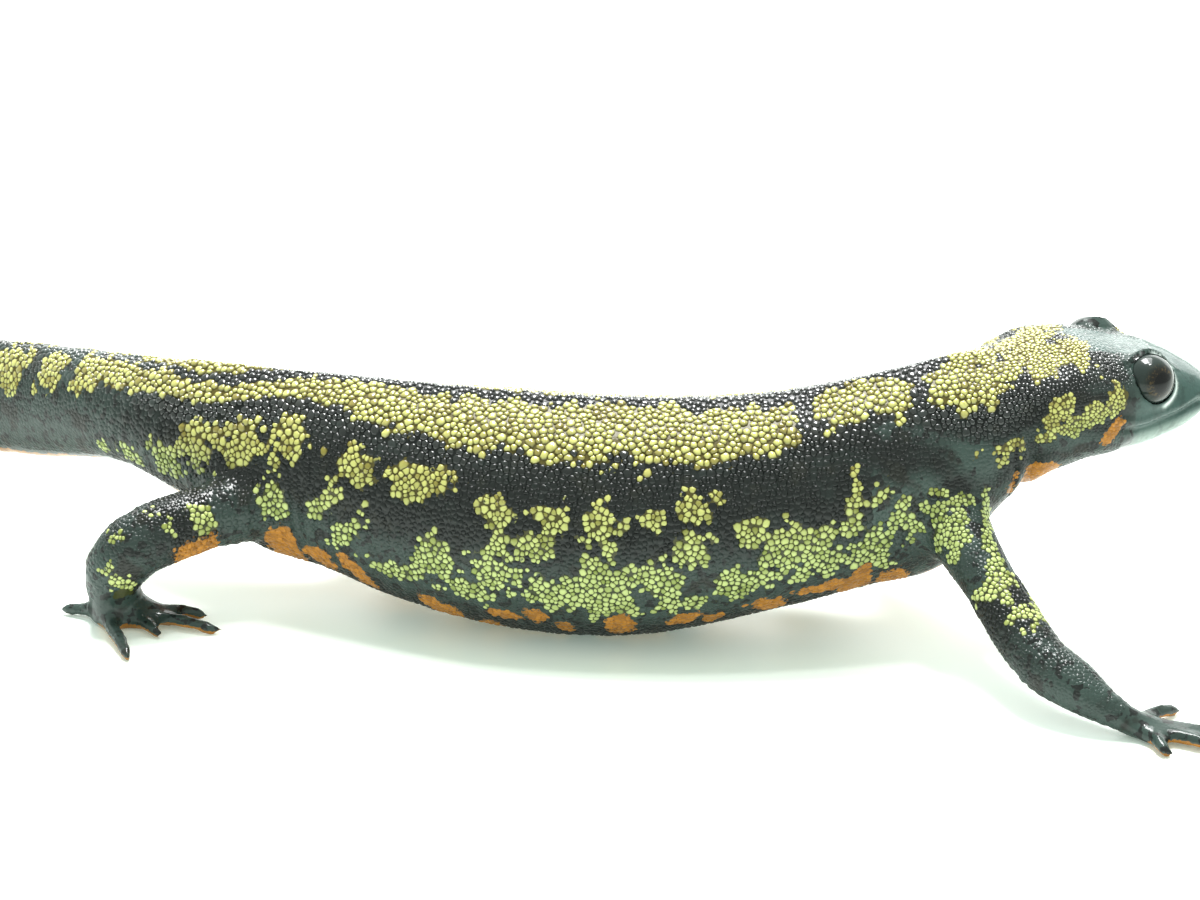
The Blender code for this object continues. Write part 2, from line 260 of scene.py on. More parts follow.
body_points = np.concatenate([node_points(name) for name in BODY])
spine_x = np.arange(cad_box[1].x, cad_box[0].x, -SPINE_STEP)
slabs = [body_points[np.abs(body_points[:, 0] - x) < SPINE_SLAB][:, 1] for x in spine_x]
spine_y = moving_mean(np.array([(slab.min() + slab.max()) / 2 for slab in slabs]), SPINE_FAIR)
spine = np.stack([spine_x, spine_y], 1)
spine_s = np.concatenate([[0.0], np.cumsum(np.linalg.norm(np.diff(spine, axis=0), axis=1))])
ahead = -np.gradient(spine, axis=0)
ahead /= np.linalg.norm(ahead, axis=1)[:, None]
BODY_LENGTH = spine_s[-1]


def along_and_out(points):
    """Each point's distance from the snout along the spine, and how far left of the spine it is."""
    along = np.empty(len(points))
    out = np.empty(len(points))
    for first in range(0, len(points), POINTS_AT_ONCE):
        here = slice(first, first + POINTS_AT_ONCE)
        part = points[here, :2]
        offset = part[:, None, :] - spine[None, :, :]
        nearest = np.argmin((offset ** 2).sum(2), axis=1)
        offset = offset[np.arange(len(part)), nearest]
        direction = ahead[nearest]
        along[here] = spine_s[nearest] - (offset * direction).sum(1)
        out[here] = direction[:, 0] * offset[:, 1] - direction[:, 1] * offset[:, 0]
    return along, out


hide_points = read(hide.data.vertices, "co", 3)
hide_node = nearest_flesh(hide_points)[1]
hide_along, hide_out = along_and_out(hide_points)
on_body = np.isin(hide_node, [FLESH.index(name) for name in BODY])
section_s = np.arange(0.0, BODY_LENGTH + SECTION_STEP, SECTION_STEP)
section_top, section_low, section_wide = np.empty((3, len(section_s)))
for index, s in enumerate(section_s):
    here = on_body & (np.abs(hide_along - s) < SECTION_STEP)
    section_top[index] = hide_points[here, 2].max()
    section_low[index] = hide_points[here, 2].min()
    section_wide[index] = np.abs(hide_out[here]).max()
section_top, section_low, section_wide = (
    moving_mean(row, 1) for row in (section_top, section_low, section_wide))
limb_roots_left_out = np.where(section_s > HEAD_LENGTH, SLIMMEST_SHARE, 1.0) * (section_top - section_low)
section_wide = np.minimum(section_wide, limb_roots_left_out)


def place_on_body(points):
    """Distance from the snout, turn from the back's middle 0 to the belly's 1, and the side, left +1."""
    along, out = along_and_out(points)
    top = np.interp(along, section_s, section_top)
    low = np.interp(along, section_s, section_low)
    wide = np.interp(along, section_s, section_wide)
    level = low + WIDEST_SHARE * (top - low)
    rise = (points[:, 2] - level) / np.where(points[:, 2] > level, top - level, level - low)
    return along, np.arctan2(np.abs(out) / wide, rise) / math.pi, np.sign(out)


limb_path = {
    limb: [meeting(parts[0], BODY), meeting(parts[0], [parts[1]]), meeting(parts[1], [parts[2]]),
           node_points(parts[2]).mean(0)]
    for limb, parts in LIMB_NODES.items()
}

# ------------------------------------------------------------------------------ the markings
# Sword-tailed newts are black above and orange below, and this race wears yellow crusts over the
# black: a broad band down each side of the back, broken rows on the flanks, and blots on the limbs.

# the back band's stations: distance from the snout in mm, upper edge, lower edge (0 back, 1 belly)
BACK_BAND = (
    (24.0, 0.10, 0.26), (29.0, 0.10, 0.23), (33.0, 0.08, 0.23), (37.0, 0.06, 0.25), (45.0, 0.04, 0.25),
    (52.0, 0.03, 0.24), (60.0, 0.03, 0.21), (66.0, 0.06, 0.21), (72.0, 0.06, 0.17), (78.0, 0.03, 0.11),
    (85.0, 0.02, 0.14), (90.0, 0.03, 0.21), (96.0, 0.05, 0.33), (104.0, 0.05, 0.36), (112.0, 0.06, 0.36),
    (124.0, 0.08, 0.40), (136.0, 0.10, 0.40), (146.0, 0.20, 0.30),
)
BAND_END = 1.5 * MM
LEAST_BAND = 0.01
# where gaps cut the band, in mm from the snout, their half width, and how they lean back down the side
BACK_BAND_GAPS = (35.2, 97.0, 101.5, 109.5, 118.0, 127.0, 133.0, 141.0)
GAP_WIDTH = 0.9 * MM
GAP_EDGE = 0.9
GAP_LEAN = 2.0 * MM
GAP_LEAN_FROM = 0.2
GAP_DEPTH = 0.6
GAP_CLOSES_FROM = 0.3
GAP_CLOSING = 4.0
# a patch: distance from the snout in mm, turn from back to belly, half length, half height in mm, tilt
YELLOW_PATCHES = (
    (20.8, 0.07, 2.5, 2.6, 0), (18.2, 0.03, 1.5, 1.5, 0), (14.6, 0.08, 2.6, 1.8, 0),
    (18.8, 0.35, 0.9, 1.3, 20), (16.2, 0.34, 1.4, 1.4, 30), (13.5, 0.39, 1.7, 1.2, 0),
    (11.4, 0.36, 0.7, 1.3, -10), (15.0, 0.43, 0.9, 0.8, 0), (65.8, 0.34, 2.2, 1.5, 0),
    (61.2, 0.33, 2.6, 1.8, 0), (56.4, 0.38, 1.4, 1.5, 0), (52.6, 0.40, 1.6, 1.6, 0),
    (49.0, 0.42, 1.8, 1.9, 0), (45.0, 0.39, 1.3, 0.9, 0), (42.2, 0.37, 2.0, 1.3, 0),
    (38.6, 0.45, 1.2, 1.1, 0), (33.4, 0.44, 0.9, 2.2, 0), (36.4, 0.50, 2.6, 1.3, 0),
    (53.4, 0.47, 1.4, 1.3, 0), (56.0, 0.46, 0.9, 1.0, 0), (60.0, 0.55, 1.4, 2.2, 0),
    (56.4, 0.56, 2.0, 2.2, 0), (62.6, 0.63, 2.6, 1.0, 0), (58.0, 0.65, 1.8, 1.3, 0),
    (52.0, 0.61, 2.4, 1.8, 0), (48.4, 0.56, 2.2, 2.4, 0), (48.2, 0.65, 2.0, 1.9, 0),
    (44.2, 0.57, 2.2, 2.3, 0), (42.6, 0.49, 1.8, 1.6, 0), (43.0, 0.64, 2.4, 1.2, 0),
    (39.4, 0.60, 2.0, 1.9, 0), (35.4, 0.58, 1.7, 1.6, 0), (32.6, 0.57, 1.6, 1.7, 0),
    (24.4, 0.46, 0.8, 1.0, 0), (22.8, 0.56, 1.3, 2.3, 0), (24.6, 0.63, 1.2, 2.3, 0),
    (20.6, 0.58, 0.9, 2.2, 0), (28.6, 0.60, 2.2, 1.9, 0), (30.4, 0.52, 1.3, 1.2, 0),
    (74.4, 0.31, 1.9, 2.0, 0), (78.6, 0.31, 1.9, 2.2, 0), (81.6, 0.38, 1.5, 3.0, 0),
    (69.8, 0.33, 0.9, 0.6, 0), (68.6, 0.46, 3.0, 1.0, 40), (66.2, 0.53, 2.9, 1.0, 50),
    (70.8, 0.50, 1.9, 1.4, 20), (75.8, 0.52, 1.3, 2.1, 8), (84.2, 0.52, 1.8, 2.4, 0),
    (84.6, 0.64, 1.2, 1.5, 0), (88.6, 0.67, 1.3, 1.9, 20), (92.0, 0.71, 0.9, 1.0, 0),
)
ORANGE_PATCHES = (
    (12.1, 0.53, 1.5, 0.85, 45), (16.8, 0.68, 1.4, 4.0, 8), (19.2, 0.88, 2.0, 3.0, 0),
    (66.4, 0.71, 1.3, 2.4, 30), (60.4, 0.79, 1.3, 1.9, 30), (56.0, 0.73, 1.6, 0.8, 0),
    (53.8, 0.71, 0.9, 1.0, 0), (51.8, 0.76, 0.7, 1.0, 0), (47.6, 0.74, 1.1, 1.9, 0),
    (43.0, 0.73, 1.5, 0.9, 20), (41.0, 0.76, 0.9, 1.0, -20), (37.6, 0.75, 0.9, 1.8, 20),
    (34.4, 0.70, 2.2, 0.9, 0), (32.2, 0.72, 1.3, 2.4, 0), (28.6, 0.75, 2.9, 1.6, 0),
    (24.6, 0.80, 1.4, 2.0, 0), (75.0, 0.80, 2.0, 4.4, 10), (71.0, 0.72, 2.4, 1.6, 0),
    (57.4, 0.86, 1.2, 2.0, 0),
)
OUTSIDE = -2.0
GIRTH_SHARE = 0.95
PATCH_EDGE = 0.45
ROSETTE = 2.7 * MM
CHANNEL = 0.16
FAR_SIDE_SHIFT = 2.6
FAR_SIDE_TURN = 0.02
FAR_SIDE_LENGTHS = (0.8, 1.3)
FAR_SIDE_SEED = 7


def patched(along, turn, patches):
    """1 at the middle of the nearest patch, 0 at its rim, less outside."""
    field = np.full(len(along), OUTSIDE)
    for s, middle, length, height, tilt in patches:
        level = np.interp(s * MM, section_s, section_top - section_low) / 2
        half_girth = math.pi * GIRTH_SHARE * level
        a = along - s * MM
        b = (turn - middle) * half_girth
        swing = math.radians(tilt)
        across = (a * math.cos(swing) + b * math.sin(swing)) / (length * MM)
        down = (b * math.cos(swing) - a * math.sin(swing)) / (height * MM)
        field = np.maximum(field, 1.0 - np.hypot(across, down))
    return field


def banded(along, turn):
    """1 along the back band's middle, 0 at its edges, less outside, with its gaps notched out."""
    stations = np.array(BACK_BAND)
    upper = np.interp(along, stations[:, 0] * MM, stations[:, 1])
    lower = np.interp(along, stations[:, 0] * MM, stations[:, 2])
    field = 1.0 - np.abs(turn - (upper + lower) / 2) / np.maximum((lower - upper) / 2, LEAST_BAND)
    ends = np.minimum(along - stations[0, 0] * MM, stations[-1, 0] * MM - along) / BAND_END
    field = np.minimum(field, ends)
    floor_of_gap = GAP_CLOSING * np.maximum(turn - GAP_CLOSES_FROM, 0) - GAP_DEPTH
    for gap in BACK_BAND_GAPS:
        notch = np.abs(along - gap * MM - (turn - GAP_LEAN_FROM) * GAP_LEAN) / GAP_WIDTH - GAP_EDGE
        field = np.minimum(field, np.maximum(notch, floor_of_gap))
    return field


def rosettes(points):
    """1 on the dark channels that part a yellow patch into rosettes, 0 elsewhere."""
    channel = np.empty(len(points))
    for index, point in enumerate(points):
        near, second = noise.voronoi(Vector(point) / ROSETTE)[0][:2]
        channel[index] = 1.0 - (second - near) / CHANNEL
    return np.clip(channel, 0, 1)


def far_side(patches):
    """The same kind of patches, each moved a little: no newt is alike on both sides."""
    rng = np.random.default_rng(FAR_SIDE_SEED)
    moved = []
    for s, middle, length, height, tilt in patches:
        back_by = rng.normal(0, FAR_SIDE_SHIFT)
        down_by = rng.normal(0, FAR_SIDE_TURN)
        moved.append((s + back_by, middle + down_by, length * rng.uniform(*FAR_SIDE_LENGTHS), height, tilt))
    return moved


def limb_places(points, flesh):
    """Which limb each point is on, -1 for the body, and how far down it in segments, 0 to 3."""
    limb = np.full(len(points), -1)
    down = np.zeros(len(points))
    for index, (name, parts) in enumerate(LIMB_NODES.items()):
        here = np.isin(flesh, [FLESH.index(part) for part in parts])
        limb[here] = index
        best = np.full(here.sum(), np.inf)
        along_limb = np.zeros(here.sum())
        for segment in range(3):
            start = np.array(limb_path[name][segment])
            step = np.array(limb_path[name][segment + 1]) - start
            share = np.clip(((points[here] - start) @ step) / (step @ step), 0, 1)
            gap = np.linalg.norm(points[here] - start - share[:, None] * step, axis=1)
            nearer = gap < best
            best[nearer] = gap[nearer]
            along_limb[nearer] = segment + share[nearer]
        down[here] = along_limb
    return limb, down


LIMB_RADIUS = 2.0
# a blot on a limb: how far down it in segments, its bearing from the limb's core, radius in mm
LIMB_BLOTS = {
    "front_right": ((-0.05, (0, -1, 1), 2.2), (0.35, (0.5, -1, 0.3), 1.6)),
    "front_left": ((0.2, (0, 1, 1), 2.2), (0.9, (-0.4, 1, 0.8), 1.8), (1.3, (0, 1, 1), 1.0)),
    "hind_right": ((-0.05, (0, -1, 0.3), 1.7), (0.55, (0, -1, 0.4), 1.1), (0.8, (0, -0.6, 1), 0.9),
                   (1.05, (-1, -1, 0.4), 1.3), (1.55, (-0.4, -1, 0), 1.3), (1.85, (0.5, -1, 0.2), 1.2)),
    "hind_left": ((0.1, (0, 0.4, 1), 2.0), (0.8, (0, 1, 1), 1.4), (1.4, (0, 1, 0.4), 1.2),
                  (1.9, (-1, 0.5, 0), 1.1)),
}


def blotted(points, limb):
    """The same measure as patched, for the blots on the limbs."""
    field = np.full(len(points), OUTSIDE)
    for index, name in enumerate(LIMBS):
        here = limb == index
        for down, bearing, radius in LIMB_BLOTS[name]:
            segment = min(max(int(down), 0), 2)
            start = Vector(limb_path[name][segment])
            middle = start + (Vector(limb_path[name][segment + 1]) - start) * (down - segment)
            centre = middle + Vector(bearing).normalized() * LIMB_RADIUS * MM
            gap = np.linalg.norm(points[here] - np.array(centre), axis=1)
            field[here] = np.maximum(field[here], 1.0 - gap / (radius * MM))
    return field


# the rough edges of all patches: the size of their lobes and how far these reach
COARSE_LOBE = 1.7 * MM
FINE_LOBE = 0.7 * MM
COARSE_REACH = 0.34
FINE_REACH = 0.42
YELLOW_SPREAD = 0.04
CHANNEL_DEPTH = 0.55
CHANNELS_BELOW_BAND = (0.22, 0.08)
LEAST_CHANNEL = 0.15
FAR_BAND_SHIFT = 1.5 * MM
# the orange underside: from what turn, how steeply it comes in, and the black blotches in it
BELLY_FROM = 0.86
BELLY_STEEPNESS = 7.0
BLOTCH = 3.4 * MM
BLOTCH_DEPTH = 1.7
TAIL_FROM = 86 * MM
TAIL_BELLY_FROM = 0.88
TAIL_BELLY_STEEPNESS = 8.0
ORANGE_SPREAD = -0.1
ORANGE_REACH = 0.5
SOLE = (2.6, 0.2)
THIGH_UNDERSIDE = (0.85, 0.3)
FACING_DOWN = (-0.2, 0.4)
MOST_ORANGE_BELOW = 0.85
# smooth slick skin: the place where each stretch starts or ends, and the width of its edge
SLICK_HEAD_TO = (11.0 * MM, 3.0 * MM)
SLICK_FLANK_FROM = (0.46, 0.1)
SLICK_FLANK_TO = (0.78, 0.08)
SLICK_NECK_TO = (31 * MM, 5 * MM)
SLICK_NECK_FROM = (0.24, 0.06)
SLICK_TAIL_FROM = (84 * MM, 8 * MM)
SLICK_LIMB_FROM = (0.5, 1.0)
SLICK_FLANK = 0.7
SLICK_TAIL = 0.6
SLICK_LIMB = 0.8
SLICK_WOBBLE = 0.25
CLOUD = 3.0 * MM
CLOUD_CONTRAST = 1.6
# how far back the smooth face reaches, in mm from the snout, at these turns
FACE_TURNS = (0.10, 0.135, 0.34, 0.40)
FACE_ENDS = (13.0, 5.6, 5.6, 9.4)
FACE_WOBBLE = 0.8 * MM
FACE_EDGE = 1.6 * MM
CHIN_FROM = (0.60, 0.12)


def rising(value, start, width):
    """0 up to the start, 1 from one width past it on."""
    return np.clip((value - start) / width, 0, 1)


def falling(value, end, width):
    """1 up to one width before the end, 0 from the end on."""
    return np.clip((end - value) / width, 0, 1)


def yellow_and_orange(points, along, turn, side, limb):
    """How far each point is inside the yellow crusts and inside the orange, 0 to 1."""
    trunk = limb < 0
    lobes = COARSE_REACH * veined(points, COARSE_LOBE) + FINE_REACH * veined(points, FINE_LOBE, 5.0)
    parting = rosettes(points) * np.clip((turn - CHANNELS_BELOW_BAND[0]) / CHANNELS_BELOW_BAND[1],
                                         LEAST_CHANNEL, 1)
    near = np.maximum(patched(along, turn, YELLOW_PATCHES), banded(along, turn))
    far = np.maximum(patched(along, turn, far_side(YELLOW_PATCHES)), banded(along + FAR_BAND_SHIFT, turn))
    yellow = np.where(trunk, np.where(side < 0, near, far), blotted(points, limb))
    yellow = np.clip(0.5 + (yellow + YELLOW_SPREAD + lobes - CHANNEL_DEPTH * parting) / PATCH_EDGE, 0, 1)
    near = patched(along, turn, ORANGE_PATCHES)
    far = patched(along, turn, far_side(ORANGE_PATCHES))
    blotch = veined(points, BLOTCH, 9.0)
    belly = (turn - BELLY_FROM) * BELLY_STEEPNESS - BLOTCH_DEPTH * np.maximum(blotch, 0)
    belly = np.where(along > TAIL_FROM, (turn - TAIL_BELLY_FROM) * TAIL_BELLY_STEEPNESS, belly)
    orange = np.where(trunk, np.maximum(np.where(side < 0, near, far), belly), -1.0)
    orange = np.clip(0.5 + (orange + ORANGE_SPREAD + ORANGE_REACH * lobes) / PATCH_EDGE, 0, 1)
    return yellow * (1 - orange), orange


def slickness(along, turn, limb, down, cloud, coarse):
    """How smooth and slick the black skin is, 0 to 1: on face, throat, flanks, tail and lower limbs."""
    flank = rising(turn, *SLICK_FLANK_FROM) * falling(turn, *SLICK_FLANK_TO) * SLICK_FLANK
    neck = falling(along, *SLICK_NECK_TO) * rising(turn, *SLICK_NECK_FROM)
    tail = rising(along, *SLICK_TAIL_FROM) * SLICK_TAIL
    slick = np.maximum(np.maximum(falling(along, *SLICK_HEAD_TO), flank), tail)
    slick = np.maximum(slick, neck * np.clip(0.5 + CLOUD_CONTRAST * cloud, 0, 1))
    slick = np.where(limb < 0, slick, rising(down, *SLICK_LIMB_FROM) * SLICK_LIMB)
    return np.clip(slick + SLICK_WOBBLE * coarse, 0, 1)


def markings(points, flesh):
    """What the hide is at these points, each fact about 0 to 1, and the turn from back to belly."""
    along, turn, side = place_on_body(points)
    limb, down = limb_places(points, flesh)
    cloud = veined(points, CLOUD, 17.0)
    yellow, orange = yellow_and_orange(points, along, turn, side, limb)
    face_end = np.interp(turn, FACE_TURNS, FACE_ENDS) * MM
    snout = (limb < 0) * falling(along, face_end + FACE_WOBBLE * cloud, FACE_EDGE)
    soles = rising(down, *SOLE)
    thighs = (limb >= 2) * falling(down, *THIGH_UNDERSIDE)
    return {
        "yellow": yellow,
        "orange": orange,
        "slick": slickness(along, turn, limb, down, cloud, veined(points, COARSE_LOBE)),
        "turn": np.where(limb < 0, turn, 0.5),
        "below": np.maximum(soles, thighs),
        "snout": snout,
        "chin": snout * rising(turn, *CHIN_FROM),
    }


def orange_below(facts, normals):
    """Soles and the thighs' undersides are orange like the belly: adds them where the hide faces down."""
    underside = smooth(*FACING_DOWN, -normals[:, 2])
    facts["orange"] = np.maximum(facts["orange"], MOST_ORANGE_BELOW * facts.pop("below") * underside)
    facts["yellow"] = facts["yellow"] * (1 - facts["orange"])


def tell(mesh, facts):
    """Stores each fact as a number at every vertex, for the material to read."""
    for name, values in facts.items():
        attribute = mesh.attributes.new(name, "FLOAT", "POINT")
        attribute.data.foreach_set("value", values.astype(np.float32))


# -------------------------------------------------------------------- the hide's folds and lids
# The bare hide is pinched where a newt's is: rib and belly wrinkles between the legs, the throat
# fold behind the jaws, a lip line, nostrils, and soft lids that close on the eyeball.

RIB_SPACING = 1.25 * MM
RIB_DEPTH = 0.06 * MM
CREASES = 9
CREASE_DEPTH = 0.05 * MM
CREASE_REACH = (0.35, 0.22)
RIB_WAVE = 4.0 * MM
RIB_WAVINESS = 0.5
CREASE_WAVINESS = 0.4
# where the wrinkles come in and fade: turns on the flank, then distances from the snout
FLANK_FROM = (0.22, 0.34)
FLANK_TO = (0.72, 0.84)
WRINKLES_FROM = (21 * MM, 27 * MM)
WRINKLES_TO = (80 * MM, 104 * MM)
THROAT_FOLD = 17.4 * MM
THROAT_FOLD_WIDTH = 0.55 * MM
THROAT_FOLD_DEPTH = 0.40 * MM
THROAT_FOLD_SWAY = 0.5 * MM
THROAT_FOLD_FROM = (0.20, 0.36)
THROAT_ROLL = 0.45
THROAT_ROLL_AHEAD = 1.0 * MM
THROAT_ROLL_WIDTH = 0.9 * MM
# the mouth's line: distance from the snout, height above the floor, both in mm
MOUTH_LINE = ((0.0, 17.95), (2.8, 18.0), (4.8, 17.5), (7.5, 17.05), (10.0, 17.2), (12.2, 17.7))
LIP_GROOVE = 0.30 * MM
LIP_DEPTH = 0.24 * MM
LIP_OVERHANG = 0.14 * MM
LIP_OVERHANG_UP = 0.45 * MM
LIP_OVERHANG_WIDTH = 0.4 * MM
MOUTH_CORNER = 1.5 * MM
NOSTRIL = (1.5 * MM, 1.75 * MM, 19.15 * MM)
NOSTRIL_RADIUS = 0.30 * MM
NOSTRIL_DEPTH = 0.35 * MM
NOSTRIL_RIM = 0.06 * MM
NOSTRIL_RIM_OUT = 0.5 * MM
NOSTRIL_RIM_WIDTH = 0.2 * MM
GAZE_AHEAD = 0.12
GAZE_UP = 0.18
LID_OPENING = 1.72 * MM
BROW_DROP = 0.38 * MM
BROW_RISE = 1.6
LID_REACH = 1.5 * MM
LID_CLEARANCE = 0.06 * MM
LID_RIM = 0.16 * MM
LID_RIM_WIDTH = 0.30 * MM
LID_RIM_OUT = 0.12 * MM
LID_RIM_AHEAD = 0.7
LID_MARGIN = 1.1
BROW_ROUND = 1.5
SOCKET_BACK = 0.2 * MM
RIM_FROM_DEPTH = 0.5 * MM
# the painted highlight along each lid's wet front edge: its width, how far outside the eyeball it lies, and
# where ahead it comes in
PAINTED_HIGHLIGHT_WIDTH = 0.16 * MM
PAINTED_HIGHLIGHT_OUT = 0.18 * MM
PAINTED_HIGHLIGHT_AHEAD = (0.1, 0.4)
LID_SECTORS = 36
LEAST_DISTANCE = 1e-6


def bell(distance, width):
    """1 at no distance, falling smoothly away over about this width."""
    return np.exp(-(distance / width) ** 2)


def smooth(low, high, value):
    """0 up to low, 1 from high on, with an even S between."""
    share = np.clip((value - low) / (high - low), 0, 1)
    return share * share * (3 - 2 * share)


def gaze_of(side):
    """Where an eye looks: outwards, a little ahead and a little up."""
    return np.array((head_left * side + head_ahead * GAZE_AHEAD + Vector((0, 0, GAZE_UP))).normalized())


def closed_lids(points, name, side):
    """Draws the hide in over the eyeball to a round opening. Gives the points and how strongly each carries
    the painted highlight along the lid's wet front edge.
    """
    centre = np.array(eye_centre[name])
    gaze = gaze_of(side)
    fore = np.cross(gaze, (0, 0, 1)) * side
    fore /= np.linalg.norm(fore)
    over = np.cross(fore, gaze) * side
    offset = points - centre
    depth = offset @ gaze
    a = offset @ fore
    b = offset @ over
    reach = np.hypot(a, b)
    bearing = np.arctan2(b, a)
    front = (np.linalg.norm(offset, axis=1) < FINE_ROUND_EYE * LID_MARGIN) & (depth > -SOCKET_BACK)
    sector = ((bearing / (2 * math.pi) + 0.5) * LID_SECTORS).astype(int) % LID_SECTORS
    outer = front & (depth > SOCKET_BACK)
    widest = EYE_RADIUS * LID_MARGIN
    rim = np.array([reach[outer & (sector == index)].min(initial=widest) for index in range(LID_SECTORS)])
    rim = moving_mean(np.concatenate([rim, rim, rim]), 2)[LID_SECTORS:2 * LID_SECTORS]
    rim_here = np.interp(bearing, (np.arange(LID_SECTORS) + 0.5) / LID_SECTORS * 2 * math.pi - math.pi, rim,
                         period=2 * math.pi)
    brow = np.clip(np.sin(bearing), 0, 1) ** BROW_ROUND
    opening = LID_OPENING - BROW_DROP * brow
    away = np.maximum(reach - rim_here, 0)
    pull = (rim_here - opening) * (1 - smooth(0, LID_REACH, away)) * front
    drawn = np.where(front, (reach - pull) / np.maximum(reach, LEAST_DISTANCE), 1.0)
    rim_share = bell(reach - pull - opening - LID_RIM_OUT, LID_RIM_WIDTH) * front * (depth > RIM_FROM_DEPTH)
    lip = LID_RIM * rim_share * (1.0 + LID_RIM_AHEAD * np.cos(bearing) + BROW_RISE * brow)
    moved = centre + gaze * (depth + lip)[:, None]
    moved = moved + fore * (a * drawn)[:, None] + over * (b * drawn)[:, None]
    offset = moved - centre
    distance = np.linalg.norm(offset, axis=1)
    least = EYE_RADIUS + LID_CLEARANCE
    push = np.where(front & (distance < least), least / np.maximum(distance, LEAST_DISTANCE), 1.0)
    offset = offset * push[:, None]
    crest = np.hypot(offset @ fore, offset @ over) - EYE_RADIUS - PAINTED_HIGHLIGHT_OUT
    # pale is a painted highlight: a light line along the lid's wet front edge
    pale = bell(crest, PAINTED_HIGHLIGHT_WIDTH) * front * smooth(*PAINTED_HIGHLIGHT_AHEAD, np.cos(bearing))
    return np.where(front[:, None], centre + offset, points), pale


hide_points = read(hide.data.vertices, "co", 3)
head_left = (eye_centre["eye_left"] - eye_centre["eye_right"]).normalized()
head_ahead = head_left.cross(Vector((0, 0, 1)))
lid_painted_highlight = np.zeros(len(hide_points))
for name, side in zip(EYES, (-1, 1)):
    hide_points, pale = closed_lids(hide_points, name, side)
    lid_painted_highlight = np.maximum(lid_painted_highlight, pale)
write_points(hide.data, hide_points)
hide_normals = read(hide.data.vertices, "normal", 3)
along, turn, side = place_on_body(hide_points)
out = along_and_out(hide_points)[1]

# wrinkles run down the flanks between the legs, a little wavy, and fade on the back and belly
wave = veined(hide_points, RIB_WAVE, 3.0)
flank = smooth(*FLANK_FROM, turn) * (1 - smooth(*FLANK_TO, turn))
between = smooth(*WRINKLES_FROM, along) * (1 - smooth(*WRINKLES_TO, along))
sink = -RIB_DEPTH * flank * between * np.cos(2 * math.pi * (along / RIB_SPACING + RIB_WAVINESS * wave))

# the throat fold hangs from behind the jaws right round the underside
fold_at = along - THROAT_FOLD - THROAT_FOLD_SWAY * wave
fold = bell(fold_at, THROAT_FOLD_WIDTH) - THROAT_ROLL * bell(fold_at + THROAT_ROLL_AHEAD, THROAT_ROLL_WIDTH)
sink += THROAT_FOLD_DEPTH * fold * smooth(*THROAT_FOLD_FROM, turn)

# the upper lip overhangs a fine line that ends under the back of the eye
line = np.array(MOUTH_LINE) * MM
above = hide_points[:, 2] - np.interp(along, line[:, 0], line[:, 1])
in_mouth = 1 - smooth(line[-1, 0] - MOUTH_CORNER, line[-1, 0], along)
overhang = LIP_OVERHANG * bell(above - LIP_OVERHANG_UP, LIP_OVERHANG_WIDTH)
sink += in_mouth * (LIP_DEPTH * bell(above, LIP_GROOVE) - overhang)

# the nostrils are two pits near the snout's tip
nostril_gap = np.stack([along - NOSTRIL[0], np.abs(out) - NOSTRIL[1], hide_points[:, 2] - NOSTRIL[2]], 1)
nostril_gap = np.linalg.norm(nostril_gap, axis=1)
nostril_rim = NOSTRIL_RIM * bell(nostril_gap - NOSTRIL_RIM_OUT, NOSTRIL_RIM_WIDTH)
sink += NOSTRIL_DEPTH * bell(nostril_gap, NOSTRIL_RADIUS) - nostril_rim
sink = sink * on_body

# the limbs crease across the elbow, wrist, knee and ankle
limb, down = limb_places(hide_points, hide_node)
bend = bell(down - 1.0, CREASE_REACH[0]) + bell(down - 2.0, CREASE_REACH[1])
sink += CREASE_DEPTH * (limb >= 0) * bend * np.cos(2 * math.pi * (CREASES * down + CREASE_WAVINESS * wave))
hide_points = hide_points - hide_normals * sink[:, None]
write_points(hide.data, hide_points)
hide.data.shade_smooth()
hide.name = "skin"
hide.data.name = "skin"

# ----------------------------------------------------------------------------- the wet skin
# Newt skin is black with pale slimy clouds, crusted with yellow and orange below. It is kept wet by
# a film of clear slime, which lies thick on the warts of the back and runs off the flanks.

PORE = 0.4 * MM
FLECK = 0.8 * MM
MOTTLE = 2.2 * MM
SKIN_CELL = 0.28 * MM
CELL_HEIGHT = 0.05 * MM
TINT_MEAN = 0.35
TINT_REACH = 0.4
TINT_PATCH = 0.9 * MM
MARKS = ("yellow", "orange", "slick", "turn", "tint", "crown", "snout", "chin", "rim")
BLACK = "101412"
WARM_BLACK = "1c1e19"
SLIMY_GREY = "35443f"
SLIMY_BLACK = "151a18"
FACE_GREY = "374e49"
CHIN_GREY = "7a8d84"
FACE_FLECK = "1b2522"
BACK_YELLOW = ("7f7432", "bcba6b")
FLANK_YELLOW = ("7b8840", "b4c07a")
# the darker colours in the crust's clefts, partly its own ochre and partly painted shade
BACK_CLEFT_TONE_AND_SHADE = "4e461d"
FLANK_CLEFT_TONE_AND_SHADE = "33391f"
BELLY_ORANGE = ("86571a", "b37624")
# the colour of the painted highlight along the lids' wet front edges
LID_PAINTED_HIGHLIGHT = "dbe6e0"


def rgb(value):
    """A linear colour from an sRGB hex value."""
    parts = [int(value[i:i + 2], 16) / 255 for i in (0, 2, 4)]
    return [c / 12.92 if c <= 0.04045 else ((c + 0.055) / 1.055) ** 2.4 for c in parts] + [1.0]


def node(material, kind, feeds=None, out=0, **settings):
    """Adds a shader node. Each feed is another node's output, or a value. Gives one of its outputs."""
    added = material.node_tree.nodes.new("ShaderNode" + kind)
    for key, value in settings.items():
        setattr(added, key, value)
    for key, feed in (feeds or {}).items():
        if isinstance(feed, bpy.types.NodeSocket):
            material.node_tree.links.new(feed, added.inputs[key])
        else:
            added.inputs[key].default_value = feed
    return added.outputs[out] if added.outputs else added


